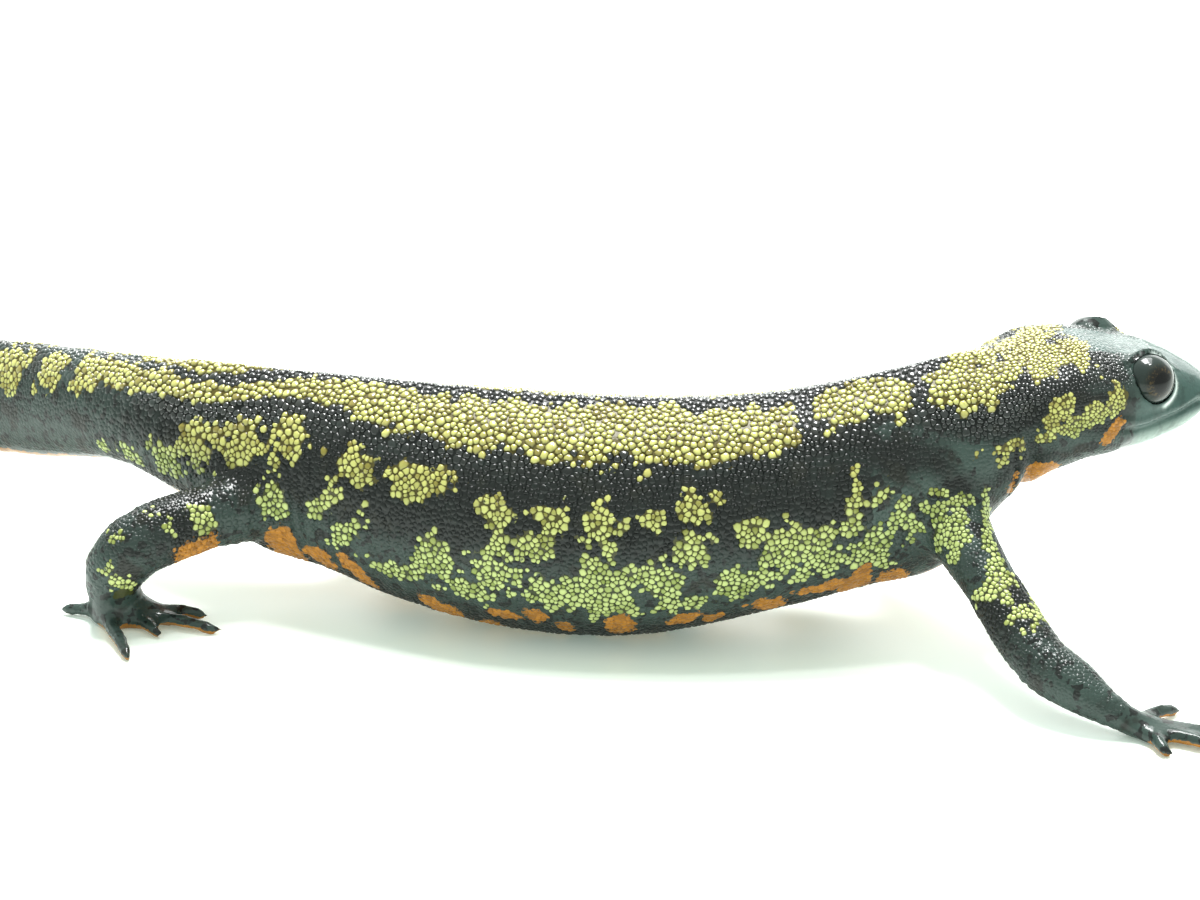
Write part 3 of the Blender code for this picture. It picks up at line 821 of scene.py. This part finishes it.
def new_material(name):
    """A material with an empty tree of nodes."""
    material = bpy.data.materials.new(name)
    material.use_nodes = True
    material.node_tree.nodes.clear()
    return material


# a map range with an even S between its two values, and a mix of colours, which takes its share at
# socket 0, the colour under it at 6 and the one over it at 7, and gives the result at output 2
STEP = {"interpolation_type": "SMOOTHSTEP"}
COLOURS = {"data_type": "RGBA", "out": 2}


def wet_newt_skin():
    """Newt skin, alive and wet: pigment cells under a clear film of slime that gives it its gloss."""
    skin = new_material("wet_newt_skin")
    mark = {name: node(skin, "Attribute", out="Fac", attribute_name=name) for name in MARKS}
    spot = node(skin, "TexCoord", out="Object")
    grain = node(skin, "TexNoise", {"Vector": spot, "Scale": 1 / PORE, "Detail": 3.0})
    mottle = node(skin, "TexNoise", {"Vector": spot, "Scale": 1 / MOTTLE, "Detail": 4.0})
    flecks = node(skin, "TexNoise", {"Vector": spot, "Scale": 1 / FLECK, "Detail": 2.0})
    cells = node(skin, "TexVoronoi", {"Vector": spot, "Scale": 1 / SKIN_CELL}, feature="F1")

    # the marks' edges break up into single pigment cells, and each mark's tint is mottled
    dither = node(skin, "Math", {0: grain, 1: 0.5}, operation="SUBTRACT")
    dither = node(skin, "Math", {0: dither, 1: 1.1}, operation="MULTIPLY")
    small_dither = node(skin, "Math", {0: dither, 1: 0.35}, operation="MULTIPLY")
    mottling = node(skin, "Math", {0: mottle, 1: 0.5}, operation="SUBTRACT")
    yellow = node(skin, "Math", {0: mark["yellow"], 1: dither})
    orange = node(skin, "Math", {0: mark["orange"], 1: dither})
    crown = node(skin, "Math", {0: mark["crown"], 1: small_dither})
    tint = node(skin, "Math", {0: mark["tint"], 1: mottling})

    # what each share is read from, and the values between which it goes from 0 to 1
    read_from = {
        "yellow": (yellow, 0.40, 0.60), "orange": (orange, 0.40, 0.62), "crown": (crown, 0.10, 0.85),
        "flank": (mark["turn"], 0.28, 0.58), "drained": (mark["turn"], 0.18, 0.32),
        "wet_warts": (mark["crown"], 0.05, 0.45), "warm": (mottle, 0.54, 0.68),
        "light_crust": (tint, 0.1, 0.9), "light_belly": (tint, 0.0, 1.0),
        "fleck": (flecks, 0.54, 0.60), "freckle": (flecks, 0.46, 0.66),
    }
    share = {}
    for name, (source, low, high) in read_from.items():
        share[name] = node(skin, "MapRange", {"Value": source, "From Min": low, "From Max": high}, **STEP)

    # black skin, cloudy grey where it is slick, and a blue-grey face with a paler chin
    slimy = node(skin, "Mix", {0: share["fleck"], 6: rgb(SLIMY_GREY), 7: rgb(SLIMY_BLACK)}, **COLOURS)
    black = node(skin, "Mix", {0: mark["slick"], 6: rgb(BLACK), 7: slimy}, **COLOURS)
    black = node(skin, "Mix", {0: share["warm"], 6: black, 7: rgb(WARM_BLACK)}, **COLOURS)
    face = node(skin, "Mix", {0: mark["chin"], 6: rgb(FACE_GREY), 7: rgb(CHIN_GREY)}, **COLOURS)
    freckle = node(skin, "Math", {0: share["freckle"], 1: 0.30}, operation="MULTIPLY")
    face = node(skin, "Mix", {0: freckle, 6: face, 7: rgb(FACE_FLECK)}, **COLOURS)
    black = node(skin, "Mix", {0: mark["snout"], 6: black, 7: face}, **COLOURS)

    # yellow crust, greener down the flank; darker from each wart's top down its sides into the clefts,
    # partly the crust's own ochre and partly painted shade
    on_back, on_flank, belly = (
        node(skin, "Mix", {0: share[light], 6: rgb(dark), 7: rgb(pale)}, **COLOURS)
        for light, (dark, pale) in (("light_crust", BACK_YELLOW), ("light_crust", FLANK_YELLOW),
                                    ("light_belly", BELLY_ORANGE)))
    crust = node(skin, "Mix", {0: share["flank"], 6: on_back, 7: on_flank}, **COLOURS)
    cleft_tone_and_shade = node(skin, "Mix", {0: share["flank"], 6: rgb(BACK_CLEFT_TONE_AND_SHADE), 7: rgb(FLANK_CLEFT_TONE_AND_SHADE)}, **COLOURS)
    crust = node(skin, "Mix", {0: share["crown"], 6: cleft_tone_and_shade, 7: crust}, **COLOURS)
    # over the black lie the crusts, the orange, and, read from rim, a painted highlight along the lids' wet
    # front edges
    colour = black
    for cover, over in ((share["yellow"], crust), (share["orange"], belly), (mark["rim"], rgb(LID_PAINTED_HIGHLIGHT))):
        colour = node(skin, "Mix", {0: cover, 6: colour, 7: over}, **COLOURS)

    # the skin's own cells are a twentieth of a millimetre high, and the slime evens most of that out
    bump = node(skin, "Bump", {"Height": cells, "Strength": 0.35, "Distance": CELL_HEIGHT})
    film_bump = node(skin, "Bump", {"Height": cells, "Strength": 0.12, "Distance": CELL_HEIGHT})
    rough = node(skin, "MapRange", {"Value": grain, "From Min": 0.3, "From Max": 0.7,
                                    "To Min": 0.34, "To Max": 0.52})

    # the film of slime: thick on the warts of the back, thin in their clefts and down the flanks
    wet_face = node(skin, "Math", {0: mark["snout"], 1: 0.6}, operation="MULTIPLY")
    wet_back = node(skin, "Math", {0: share["wet_warts"], 1: wet_face}, operation="MAXIMUM")
    wet_back = node(skin, "Math", {0: wet_back, 1: 0.12}, operation="MAXIMUM")
    film = node(skin, "Math", {0: 1.0, 1: share["drained"]}, operation="SUBTRACT")
    film = node(skin, "Math", {0: film, 1: wet_back}, operation="MULTIPLY")
    wet_flank = node(skin, "Math", {0: share["drained"], 1: 0.34}, operation="MULTIPLY")
    film = node(skin, "Math", {0: film, 1: wet_flank})
    surface = node(skin, "BsdfPrincipled", {
        "Base Color": colour, "Roughness": rough, "Normal": bump, "IOR": 1.40, "Specular IOR Level": 0.14,
        "Coat Weight": film, "Coat Roughness": 0.08, "Coat IOR": 1.62, "Coat Normal": film_bump})
    node(skin, "OutputMaterial", {"Surface": surface})
    return skin


newt_skin = wet_newt_skin()
skin_facts = markings(hide_points, hide_node)
orange_below(skin_facts, read(hide.data.vertices, "normal", 3))
# rim holds the painted highlight along the lids' wet front edges
skin_facts["rim"] = lid_painted_highlight
skin_facts["tint"] = np.clip(TINT_MEAN + TINT_REACH * veined(hide_points, TINT_PATCH, 2.0), 0, 1)
tell(hide.data, skin_facts)
hide.data.materials.clear()
hide.data.materials.append(newt_skin)
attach(hide, "root")
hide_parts(*FLESH)

# ----------------------------------------------------------------------------- the granules
# The hide is set all over with low poison glands, each a rounded wart that carries a highlight. They
# are largest and proudest on the back, finest on the head, and leave snout, belly, hands and feet bare.

GRANULE_SEED = 11
GRANULE_TRIES = 420000
# a granule's rings from its top down, each at a share of its reach and of its height, and then how far
# its top and each ring are out of the cleft, from 1 to 0
GRANULE_RINGS = ((0.50, 0.92), (0.82, 0.54), (1.0, -0.10))
GRANULE_CROWN = (1.0, 0.9, 0.50, 0.0)
GRANULE_SIDES = 8
GRANULE_SPREAD = 1.0
GRANULE_ROUND = 1.12
LEAST_FACING = 0.15
CREVICE = 1.05
NEIGHBOURS = 9
NEARLY_UPRIGHT = 0.9
# spacing and height in mm: on the flank, then what the back and the yellow add
APART = (0.39, 0.13, 0.03)
TALL = (0.060, 0.060, 0.030)
# spacing and height in mm on a limb: at its root, then what each segment takes off and the yellow adds
LIMB_APART = (0.38, 0.05, 0.02)
LIMB_TALL = (0.07, 0.015, 0.02)
BACK_TO = (0.22, 0.36)
TAIL_GRANULES_FROM = (84 * MM, 98 * MM)
HEAD_GRANULES_TO = (16 * MM, 26 * MM)
# the shares of spacing and height that the tail and the head take off
TAIL_CLOSER = 0.12
TAIL_LOWER = 0.35
HEAD_CLOSER = 0.42
HEAD_LOWER = 0.40
SLICK_LOWER = 0.6
SNOUT_LOWER = 0.6
BARE_BELLY = 0.84
BARE_SNOUT = 5.5 * MM
BARE_JAW = 11.0 * MM
BARE_JAW_TURN = 0.30
BARE_LIMB = 2.1
BARE_ROUND_EYE = 0.28 * MM
SIZE_SPREAD = 0.24
SIZE_LIMITS = (0.62, 1.5)
HEIGHT_SPREAD = (0.8, 1.25)
HEIGHT_BY_REACH = (0.7, 1.3)
USUAL_REACH = 0.55
YELLOW_SPREAD_EACH = 0.12
YELLOW_EDGE = 0.1
YELLOW_LIMITS = (0.02, 0.76)
TINT_EACH = (0.58, 0.22)
TINT_OF_YELLOW = 0.10
# the chart: its margin, how much of it the body and each limb take, and a granule's patch on it
CHART_MARGIN = 0.01
CHART_LENGTH = 0.98
CHART_HALF_GIRTH = 0.29
CHART_LIMB_STEP = 0.25
CHART_LIMB_LENGTH = 0.23
CHART_LIMB_FROM = 0.62
CHART_LIMB_GIRTH = 0.36
PATCH_UV = 0.003


def granule_make(along, turn, limb, down, facts):
    """How far apart the granules stand and how tall they are, in metres, 0 apart for none."""
    yellow = facts["yellow"]
    back = 1 - smooth(*BACK_TO, turn)
    tail = smooth(*TAIL_GRANULES_FROM, along)
    head = 1 - smooth(*HEAD_GRANULES_TO, along)
    apart = (APART[0] + APART[1] * back + APART[2] * yellow) * MM
    apart = apart * (1 - TAIL_CLOSER * tail) * (1 - HEAD_CLOSER * head)
    tall = (TALL[0] + TALL[1] * back + TALL[2] * yellow) * MM
    tall = tall * (1 - TAIL_LOWER * tail) * (1 - HEAD_LOWER * head)
    bare = (turn > BARE_BELLY) | (along < BARE_SNOUT) | (along < BARE_JAW) & (turn > BARE_JAW_TURN)
    apart = np.where(bare, 0.0, apart)
    on_limb = limb >= 0
    apart = np.where(on_limb, (LIMB_APART[0] - LIMB_APART[1] * down + LIMB_APART[2] * yellow) * MM, apart)
    tall = np.where(on_limb, (LIMB_TALL[0] - LIMB_TALL[1] * down + LIMB_TALL[2] * yellow) * MM, tall)
    tall = tall * (1 - SLICK_LOWER * facts["slick"] * (1 - yellow)) * (1 - SNOUT_LOWER * facts["snout"])
    return np.where(on_limb & (down > BARE_LIMB), 0.0, apart), tall


def scattered(count, seed):
    """Random points on the hide, even by area: places, normals and the nearest vertex of each."""
    mesh = hide.data
    mesh.calc_loop_triangles()
    corners = read(mesh.loop_triangles, "vertices", 3, np.int32)
    place = read(mesh.vertices, "co", 3)
    normal = read(mesh.vertices, "normal", 3)
    area = np.linalg.norm(np.cross(place[corners[:, 1]] - place[corners[:, 0]],
                                   place[corners[:, 2]] - place[corners[:, 0]]), axis=1)
    rng = np.random.default_rng(seed)
    chosen = corners[rng.choice(len(corners), count, p=area / area.sum())]
    share = rng.dirichlet((1.0, 1.0, 1.0), count)
    spots = (place[chosen] * share[:, :, None]).sum(1)
    normals = (normal[chosen] * share[:, :, None]).sum(1)
    return spots, normals / np.linalg.norm(normals, axis=1)[:, None], chosen[:, 0]


def spaced(spots, apart):
    """Takes each spot in turn unless one already taken stands nearer than its own spacing."""
    cell = apart.max()
    taken = {}
    kept = []
    rows = spots.tolist()
    keys = np.floor(spots / cell).astype(int).tolist()
    reach = (apart ** 2).tolist()
    around = [(i, j, k) for i in (-1, 0, 1) for j in (-1, 0, 1) for k in (-1, 0, 1)]
    for index, (x, y, z) in enumerate(rows):
        if reach[index] == 0.0:
            continue
        a, b, c = keys[index]
        limit = reach[index]
        free = True
        for i, j, k in around:
            for p, q, r in taken.get((a + i, b + j, c + k), ()):
                if (p - x) ** 2 + (q - y) ** 2 + (r - z) ** 2 < limit:
                    free = False
                    break
            if not free:
                break
        if free:
            taken.setdefault((a, b, c), []).append((x, y, z))
            kept.append(index)
    return np.array(kept)


def hide_chart(points, flesh):
    """Each point's place on an unwrap of the hide: the body slit along its belly, the limbs below."""
    along, turn, side = place_on_body(points)
    chart = np.stack([CHART_MARGIN + CHART_LENGTH * along / BODY_LENGTH,
                      CHART_MARGIN + CHART_HALF_GIRTH * (1 + turn * side)], 1)
    limb, down = limb_places(points, flesh)
    for index, name in enumerate(LIMBS):
        here = limb == index
        path = np.array(limb_path[name])
        centre = np.stack([np.interp(down[here], range(4), path[:, axis]) for axis in range(3)], 1)
        offset = points[here] - centre
        angle = np.arctan2(offset[:, 2], offset[:, 0]) / (2 * math.pi) + 0.5
        chart[here] = np.stack([CHART_MARGIN + CHART_LIMB_STEP * index + CHART_LIMB_LENGTH * down[here] / 3,
                                CHART_LIMB_FROM + CHART_LIMB_GIRTH * angle], 1)
    return chart


def on_hide(points, heights):
    """Each point moved to its own height above the hide, so that a wart's foot follows the skin."""
    moved = np.empty((len(points), 3))
    for index, (point, height) in enumerate(zip(points, heights)):
        spot, normal, _, _ = hide_tree.find_nearest(Vector(point))
        moved[index] = spot + normal * height
    return moved


def frames(normals, rng):
    """For each normal two directions that lie in the skin, at right angles, turned at random."""
    helper = np.where(np.abs(normals[:, 2:]) > NEARLY_UPRIGHT, [[1.0, 0.0, 0.0]], [[0.0, 0.0, 1.0]])
    across = np.cross(normals, helper)
    across /= np.linalg.norm(across, axis=1)[:, None]
    beside = np.cross(normals, across)
    swing = rng.uniform(0, 2 * math.pi, len(normals))[:, None]
    return across * np.cos(swing) + beside * np.sin(swing), beside * np.cos(swing) - across * np.sin(swing)


def packed(spots, apart, across, beside):
    """How far each granule swells in each direction before it meets its neighbours."""
    search = kdtree.KDTree(len(spots))
    for index, spot in enumerate(spots):
        search.insert(Vector(spot), index)
    search.balance()
    near = np.array([[found[1] for found in search.find_n(Vector(spot), NEIGHBOURS)][1:] for spot in spots])
    offset = spots[near] - spots[:, None, :]
    a = (offset * across[:, None, :]).sum(2)
    b = (offset * beside[:, None, :]).sum(2)
    border = np.hypot(a, b) * apart[:, None] / (apart[:, None] + apart[near])
    bearing = np.arctan2(b, a)
    reach = []
    for step in range(GRANULE_SIDES):
        facing = np.cos(bearing - 2 * math.pi * step / GRANULE_SIDES)
        limit = np.where(facing > LEAST_FACING, border / np.maximum(facing, LEAST_FACING), 1.0).min(1)
        reach.append(np.minimum(limit * CREVICE, apart * GRANULE_SPREAD))
    reach = np.stack(reach, 1)
    return np.minimum(reach, reach.mean(1)[:, None] * GRANULE_ROUND)


def granule_piece(name, spots, across, beside, reach, tall, facts, chart):
    """One piece of rounded warts, each sunk a little in the hide, with its facts and its chart patch."""
    count = len(spots)
    points = [spots]
    heights = [tall]
    crown = [np.full(count, GRANULE_CROWN[0])]
    patch = [np.zeros((count, 2))]
    for (radius, height), share in zip(GRANULE_RINGS, GRANULE_CROWN[1:]):
        for step in range(GRANULE_SIDES):
            angle = 2 * math.pi * step / GRANULE_SIDES
            out = (reach[:, step] * radius)[:, None]
            points.append(spots + across * math.cos(angle) * out + beside * math.sin(angle) * out)
            heights.append(tall * height)
            crown.append(np.full(count, share))
            patch.append(np.tile([math.cos(angle), math.sin(angle)], (count, 1)) * radius * PATCH_UV / 2)
    each = len(points)
    points = on_hide(np.stack(points, 1).reshape(-1, 3), np.stack(heights, 1).reshape(-1))
    patch = (np.stack(patch, 1) + chart[:, None, :]).reshape(-1, 2)
    faces = []
    for step in range(GRANULE_SIDES):
        after = (step + 1) % GRANULE_SIDES
        faces.append((0, 1 + step, 1 + after))
        for ring in range(len(GRANULE_RINGS) - 1):
            inner = 1 + ring * GRANULE_SIDES
            outer = inner + GRANULE_SIDES
            faces.append((inner + step, outer + step, outer + after, inner + after))
    mesh = bpy.data.meshes.new(name)
    starts = range(0, count * each, each)
    mesh.from_pydata(points, [], [[start + corner for corner in face] for start in starts for face in faces])
    mesh.shade_smooth()
    tell(mesh, {key: np.repeat(values, each) for key, values in facts.items()})
    tell(mesh, {"crown": np.stack(crown, 1).reshape(-1)})
    chart_map = mesh.uv_layers.new(name="OFBake")
    corner = read(mesh.loops, "vertex_index", 1, np.int32)
    chart_map.data.foreach_set("uv", patch[corner].astype(np.float32).ravel())
    mesh.materials.append(newt_skin)
    piece = bpy.data.objects.new(name, mesh)
    bpy.context.scene.collection.objects.link(piece)
    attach(piece, "root")


hide_tree = BVHTree.FromPolygons([vertex.co for vertex in hide.data.vertices],
                                 [face.vertices for face in hide.data.polygons])
spots, normals, nearest = scattered(GRANULE_TRIES, GRANULE_SEED)
along, turn, side = place_on_body(spots)
limb, down = limb_places(spots, hide_node[nearest])
rough_facts = {name: values[nearest] for name, values in skin_facts.items()}
apart, tall = granule_make(along, turn, limb, down, rough_facts)
size_rng = np.random.default_rng(GRANULE_SEED)
apart *= np.clip(np.exp(size_rng.normal(0, SIZE_SPREAD, len(apart))), *SIZE_LIMITS)
for name in EYES:
    by_eye = np.linalg.norm(spots - np.array(eye_centre[name]), axis=1) < EYE_RADIUS + BARE_ROUND_EYE
    apart[by_eye] = 0.0
kept = spaced(spots, apart)
rng = np.random.default_rng(GRANULE_SEED)
spots, normals, nearest, apart, tall = (row[kept] for row in (spots, normals, nearest, apart, tall))
along, limb = along[kept], limb[kept]
facts = markings(spots, hide_node[nearest])
orange_below(facts, normals)
each_yellow = facts["yellow"] - 0.5 + rng.normal(0, YELLOW_SPREAD_EACH, len(kept))
facts["yellow"] = np.clip(0.5 + each_yellow / YELLOW_EDGE, *YELLOW_LIMITS)
facts["tint"] = np.clip(rng.normal(*TINT_EACH, len(kept)) + TINT_OF_YELLOW * facts["yellow"], 0, 1)
across, beside = frames(normals, rng)
reach = packed(spots, apart, across, beside)
by_reach = np.clip(reach.mean(1) / (USUAL_REACH * apart), *HEIGHT_BY_REACH)
tall = tall * rng.uniform(*HEIGHT_SPREAD, len(kept)) * by_reach
chart = hide_chart(spots, hide_node[nearest])

# the coat's pieces from head to tail, each with the distance from the snout where it ends
BODY_COAT = {"head": 18 * MM, "shoulders": 35 * MM, "ribs": 52 * MM, "belly": 70 * MM, "hips": 88 * MM,
             "tail_root": 116 * MM, "tail": math.inf}
groups = {}
start = -math.inf
for part, end in BODY_COAT.items():
    groups["granules_" + part] = (limb < 0) & (along >= start) & (along < end)
    start = end
groups["granules_limbs"] = limb >= 0
for name, here in groups.items():
    granule_piece(name, spots[here], across[here], beside[here], reach[here], tall[here],
                  {key: values[here] for key, values in facts.items()}, chart[here])

# --------------------------------------------------------------------------------- the eyes
# Each eye is a dark wet ball: a round black pupil in a dark bronze iris flecked with gold, under a
# clear cornea that bulges a little and is always wet.

EYE_SEGMENTS = 64
EYE_RINGS = 40
CORNEA = 1.085 * MM
CORNEA_RISE = 0.10 * MM
GOLD_FLECK = 0.22 * MM
PUPIL = "060606"
IRIS_BRONZE = "15130f"
IRIS_GOLD = "40341f"
IRIS_RIM = "232c29"


def newt_eye():
    """A living eye: the iris is matt pigment and the clear cornea over it gives the gloss."""
    eye = new_material("newt_eye")
    spot = node(eye, "TexCoord", out="Object")
    away = node(eye, "Attribute", out="Fac", attribute_name="off_gaze")
    flecks = node(eye, "TexNoise", {"Vector": spot, "Scale": 1 / GOLD_FLECK, "Detail": 3.0})
    fleck = node(eye, "MapRange", {"Value": flecks, "From Min": 0.50, "From Max": 0.64}, **STEP)
    iris = node(eye, "Mix", {0: fleck, 6: rgb(IRIS_BRONZE), 7: rgb(IRIS_GOLD)}, **COLOURS)
    outer = node(eye, "MapRange", {"Value": away, "From Min": 0.50, "From Max": 0.80}, **STEP)
    iris = node(eye, "Mix", {0: outer, 6: iris, 7: rgb(IRIS_RIM)}, **COLOURS)
    pupil = node(eye, "MapRange", {"Value": away, "From Min": 0.38, "From Max": 0.42}, **STEP)
    colour = node(eye, "Mix", {0: pupil, 6: rgb(PUPIL), 7: iris}, **COLOURS)
    surface = node(eye, "BsdfPrincipled", {
        "Base Color": colour, "Roughness": 0.35, "Specular IOR Level": 0.05,
        "Coat Weight": 1.0, "Coat Roughness": 0.04, "Coat IOR": 1.33})
    node(eye, "OutputMaterial", {"Surface": surface})
    return eye


eye_material = newt_eye()
for name, side in zip(EYES, (-1, 1)):
    bpy.ops.object.select_all(action="DESELECT")
    bpy.ops.mesh.primitive_uv_sphere_add(segments=EYE_SEGMENTS, ring_count=EYE_RINGS, radius=EYE_RADIUS,
                                         location=eye_centre[name])
    ball = bpy.context.object
    ball.name = name.replace("eye_", "eyeball_")
    bpy.ops.object.transform_apply(location=True, rotation=True, scale=True)
    gaze = gaze_of(side)
    offset = read(ball.data.vertices, "co", 3) - np.array(eye_centre[name])
    off_gaze = np.linalg.norm(offset - (offset @ gaze)[:, None] * gaze, axis=1)
    off_gaze = np.where(offset @ gaze > 0, off_gaze, EYE_RADIUS)
    swell = 1 + CORNEA_RISE / EYE_RADIUS * bell(off_gaze, CORNEA)
    write_points(ball.data, np.array(eye_centre[name]) + offset * swell[:, None])
    tell(ball.data, {"off_gaze": off_gaze / EYE_RADIUS})
    ball.data.shade_smooth()
    ball.data.materials.append(eye_material)
    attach(ball, "root")
    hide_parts(name)

# ------------------------------------------------------------------ the floor, light and camera
# The newt stands on the milky plastic of a wide white tray, in a tent of white cloth that is lit by
# soft boxes from above and behind. It is seen from its right side, from a little above.

FLOOR_SIZE = 6.0
TRAY_WHITE = "f1f6f2"
# the colour of the tray's painted glow
TRAY_PAINTED_GLOW = "dcf4e2"
TENT_WHITE = "effaf2"
TENT_STRENGTH = 1.08
# a soft box: where it hangs, where it aims, its width and height, all in metres, and its watts
SOFTBOXES = {
    "overhead": ((0.05, 0.22, 0.45), (0.03, 0, 0), 0.22, 0.34, 1.9),
    "window": ((-0.015, 0.20, 0.46), (0.01, 0, 0), 0.14, 0.28, 3.7),
    "backdrop": ((0.08, 0.50, 0.18), (0.04, 0, 0.02), 1.0, 0.26, 1.6),
    "lamp": ((0.08, 0.02, 0.50), (0.02, 0, 0), 0.05, 0.05, 0.7),
}

bpy.context.scene.view_settings.view_transform = "Standard"
bpy.ops.object.select_all(action="DESELECT")
bpy.ops.mesh.primitive_plane_add(size=FLOOR_SIZE, location=(0, 0, 0))
floor = bpy.context.object
floor.name = "floor"


def white_tray():
    """Milky white plastic, a little glossy, with a painted glow that stands in for light soaking through it
    and lifts the shadows.
    """
    tray = new_material("white_tray")
    # the emission is a painted glow on the tray, which is no lamp
    surface = node(tray, "BsdfPrincipled", {
        "Base Color": rgb(TRAY_WHITE), "Roughness": 0.35,
        "Emission Color": rgb(TRAY_PAINTED_GLOW), "Emission Strength": 0.22})
    node(tray, "OutputMaterial", {"Surface": surface})
    return tray


floor.data.materials.append(white_tray())

world = bpy.data.worlds.new("tent")
bpy.context.scene.world = world
world.use_nodes = True
world.node_tree.nodes["Background"].inputs["Color"].default_value = rgb(TENT_WHITE)
world.node_tree.nodes["Background"].inputs["Strength"].default_value = TENT_STRENGTH

for name, (place, aim, width, height, watts) in SOFTBOXES.items():
    light = bpy.data.lights.new(name, "AREA")
    light.shape = "RECTANGLE"
    light.size = width
    light.size_y = height
    light.energy = watts
    lamp = bpy.data.objects.new(name, light)
    lamp.location = place
    lamp.rotation_euler = (Vector(aim) - Vector(place)).to_track_quat("-Z", "Y").to_euler()
    bpy.context.scene.collection.objects.link(lamp)

VIEW_DISTANCE = 300 * MM
VIEW_ELEVATION = math.radians(21)
VIEW_BEHIND_EYE = Vector((-41.77, 0.04, -5.75)) * MM
SENSOR = 36.0
LENS = 117.39
NEAREST_SEEN = 10 * MM
view_centre = eye_centre["eye_right"] + VIEW_BEHIND_EYE
back = Vector((0, -math.cos(VIEW_ELEVATION), math.sin(VIEW_ELEVATION)))
camera_data = bpy.data.cameras.new("camera")
camera_data.sensor_width = SENSOR
camera_data.lens = LENS
camera = bpy.data.objects.new("camera", camera_data)
camera.location = view_centre + back * VIEW_DISTANCE
camera.rotation_euler = (-back).to_track_quat("-Z", "Y").to_euler()
camera_data.clip_start = NEAREST_SEEN
bpy.context.scene.collection.objects.link(camera)
bpy.context.scene.camera = camera
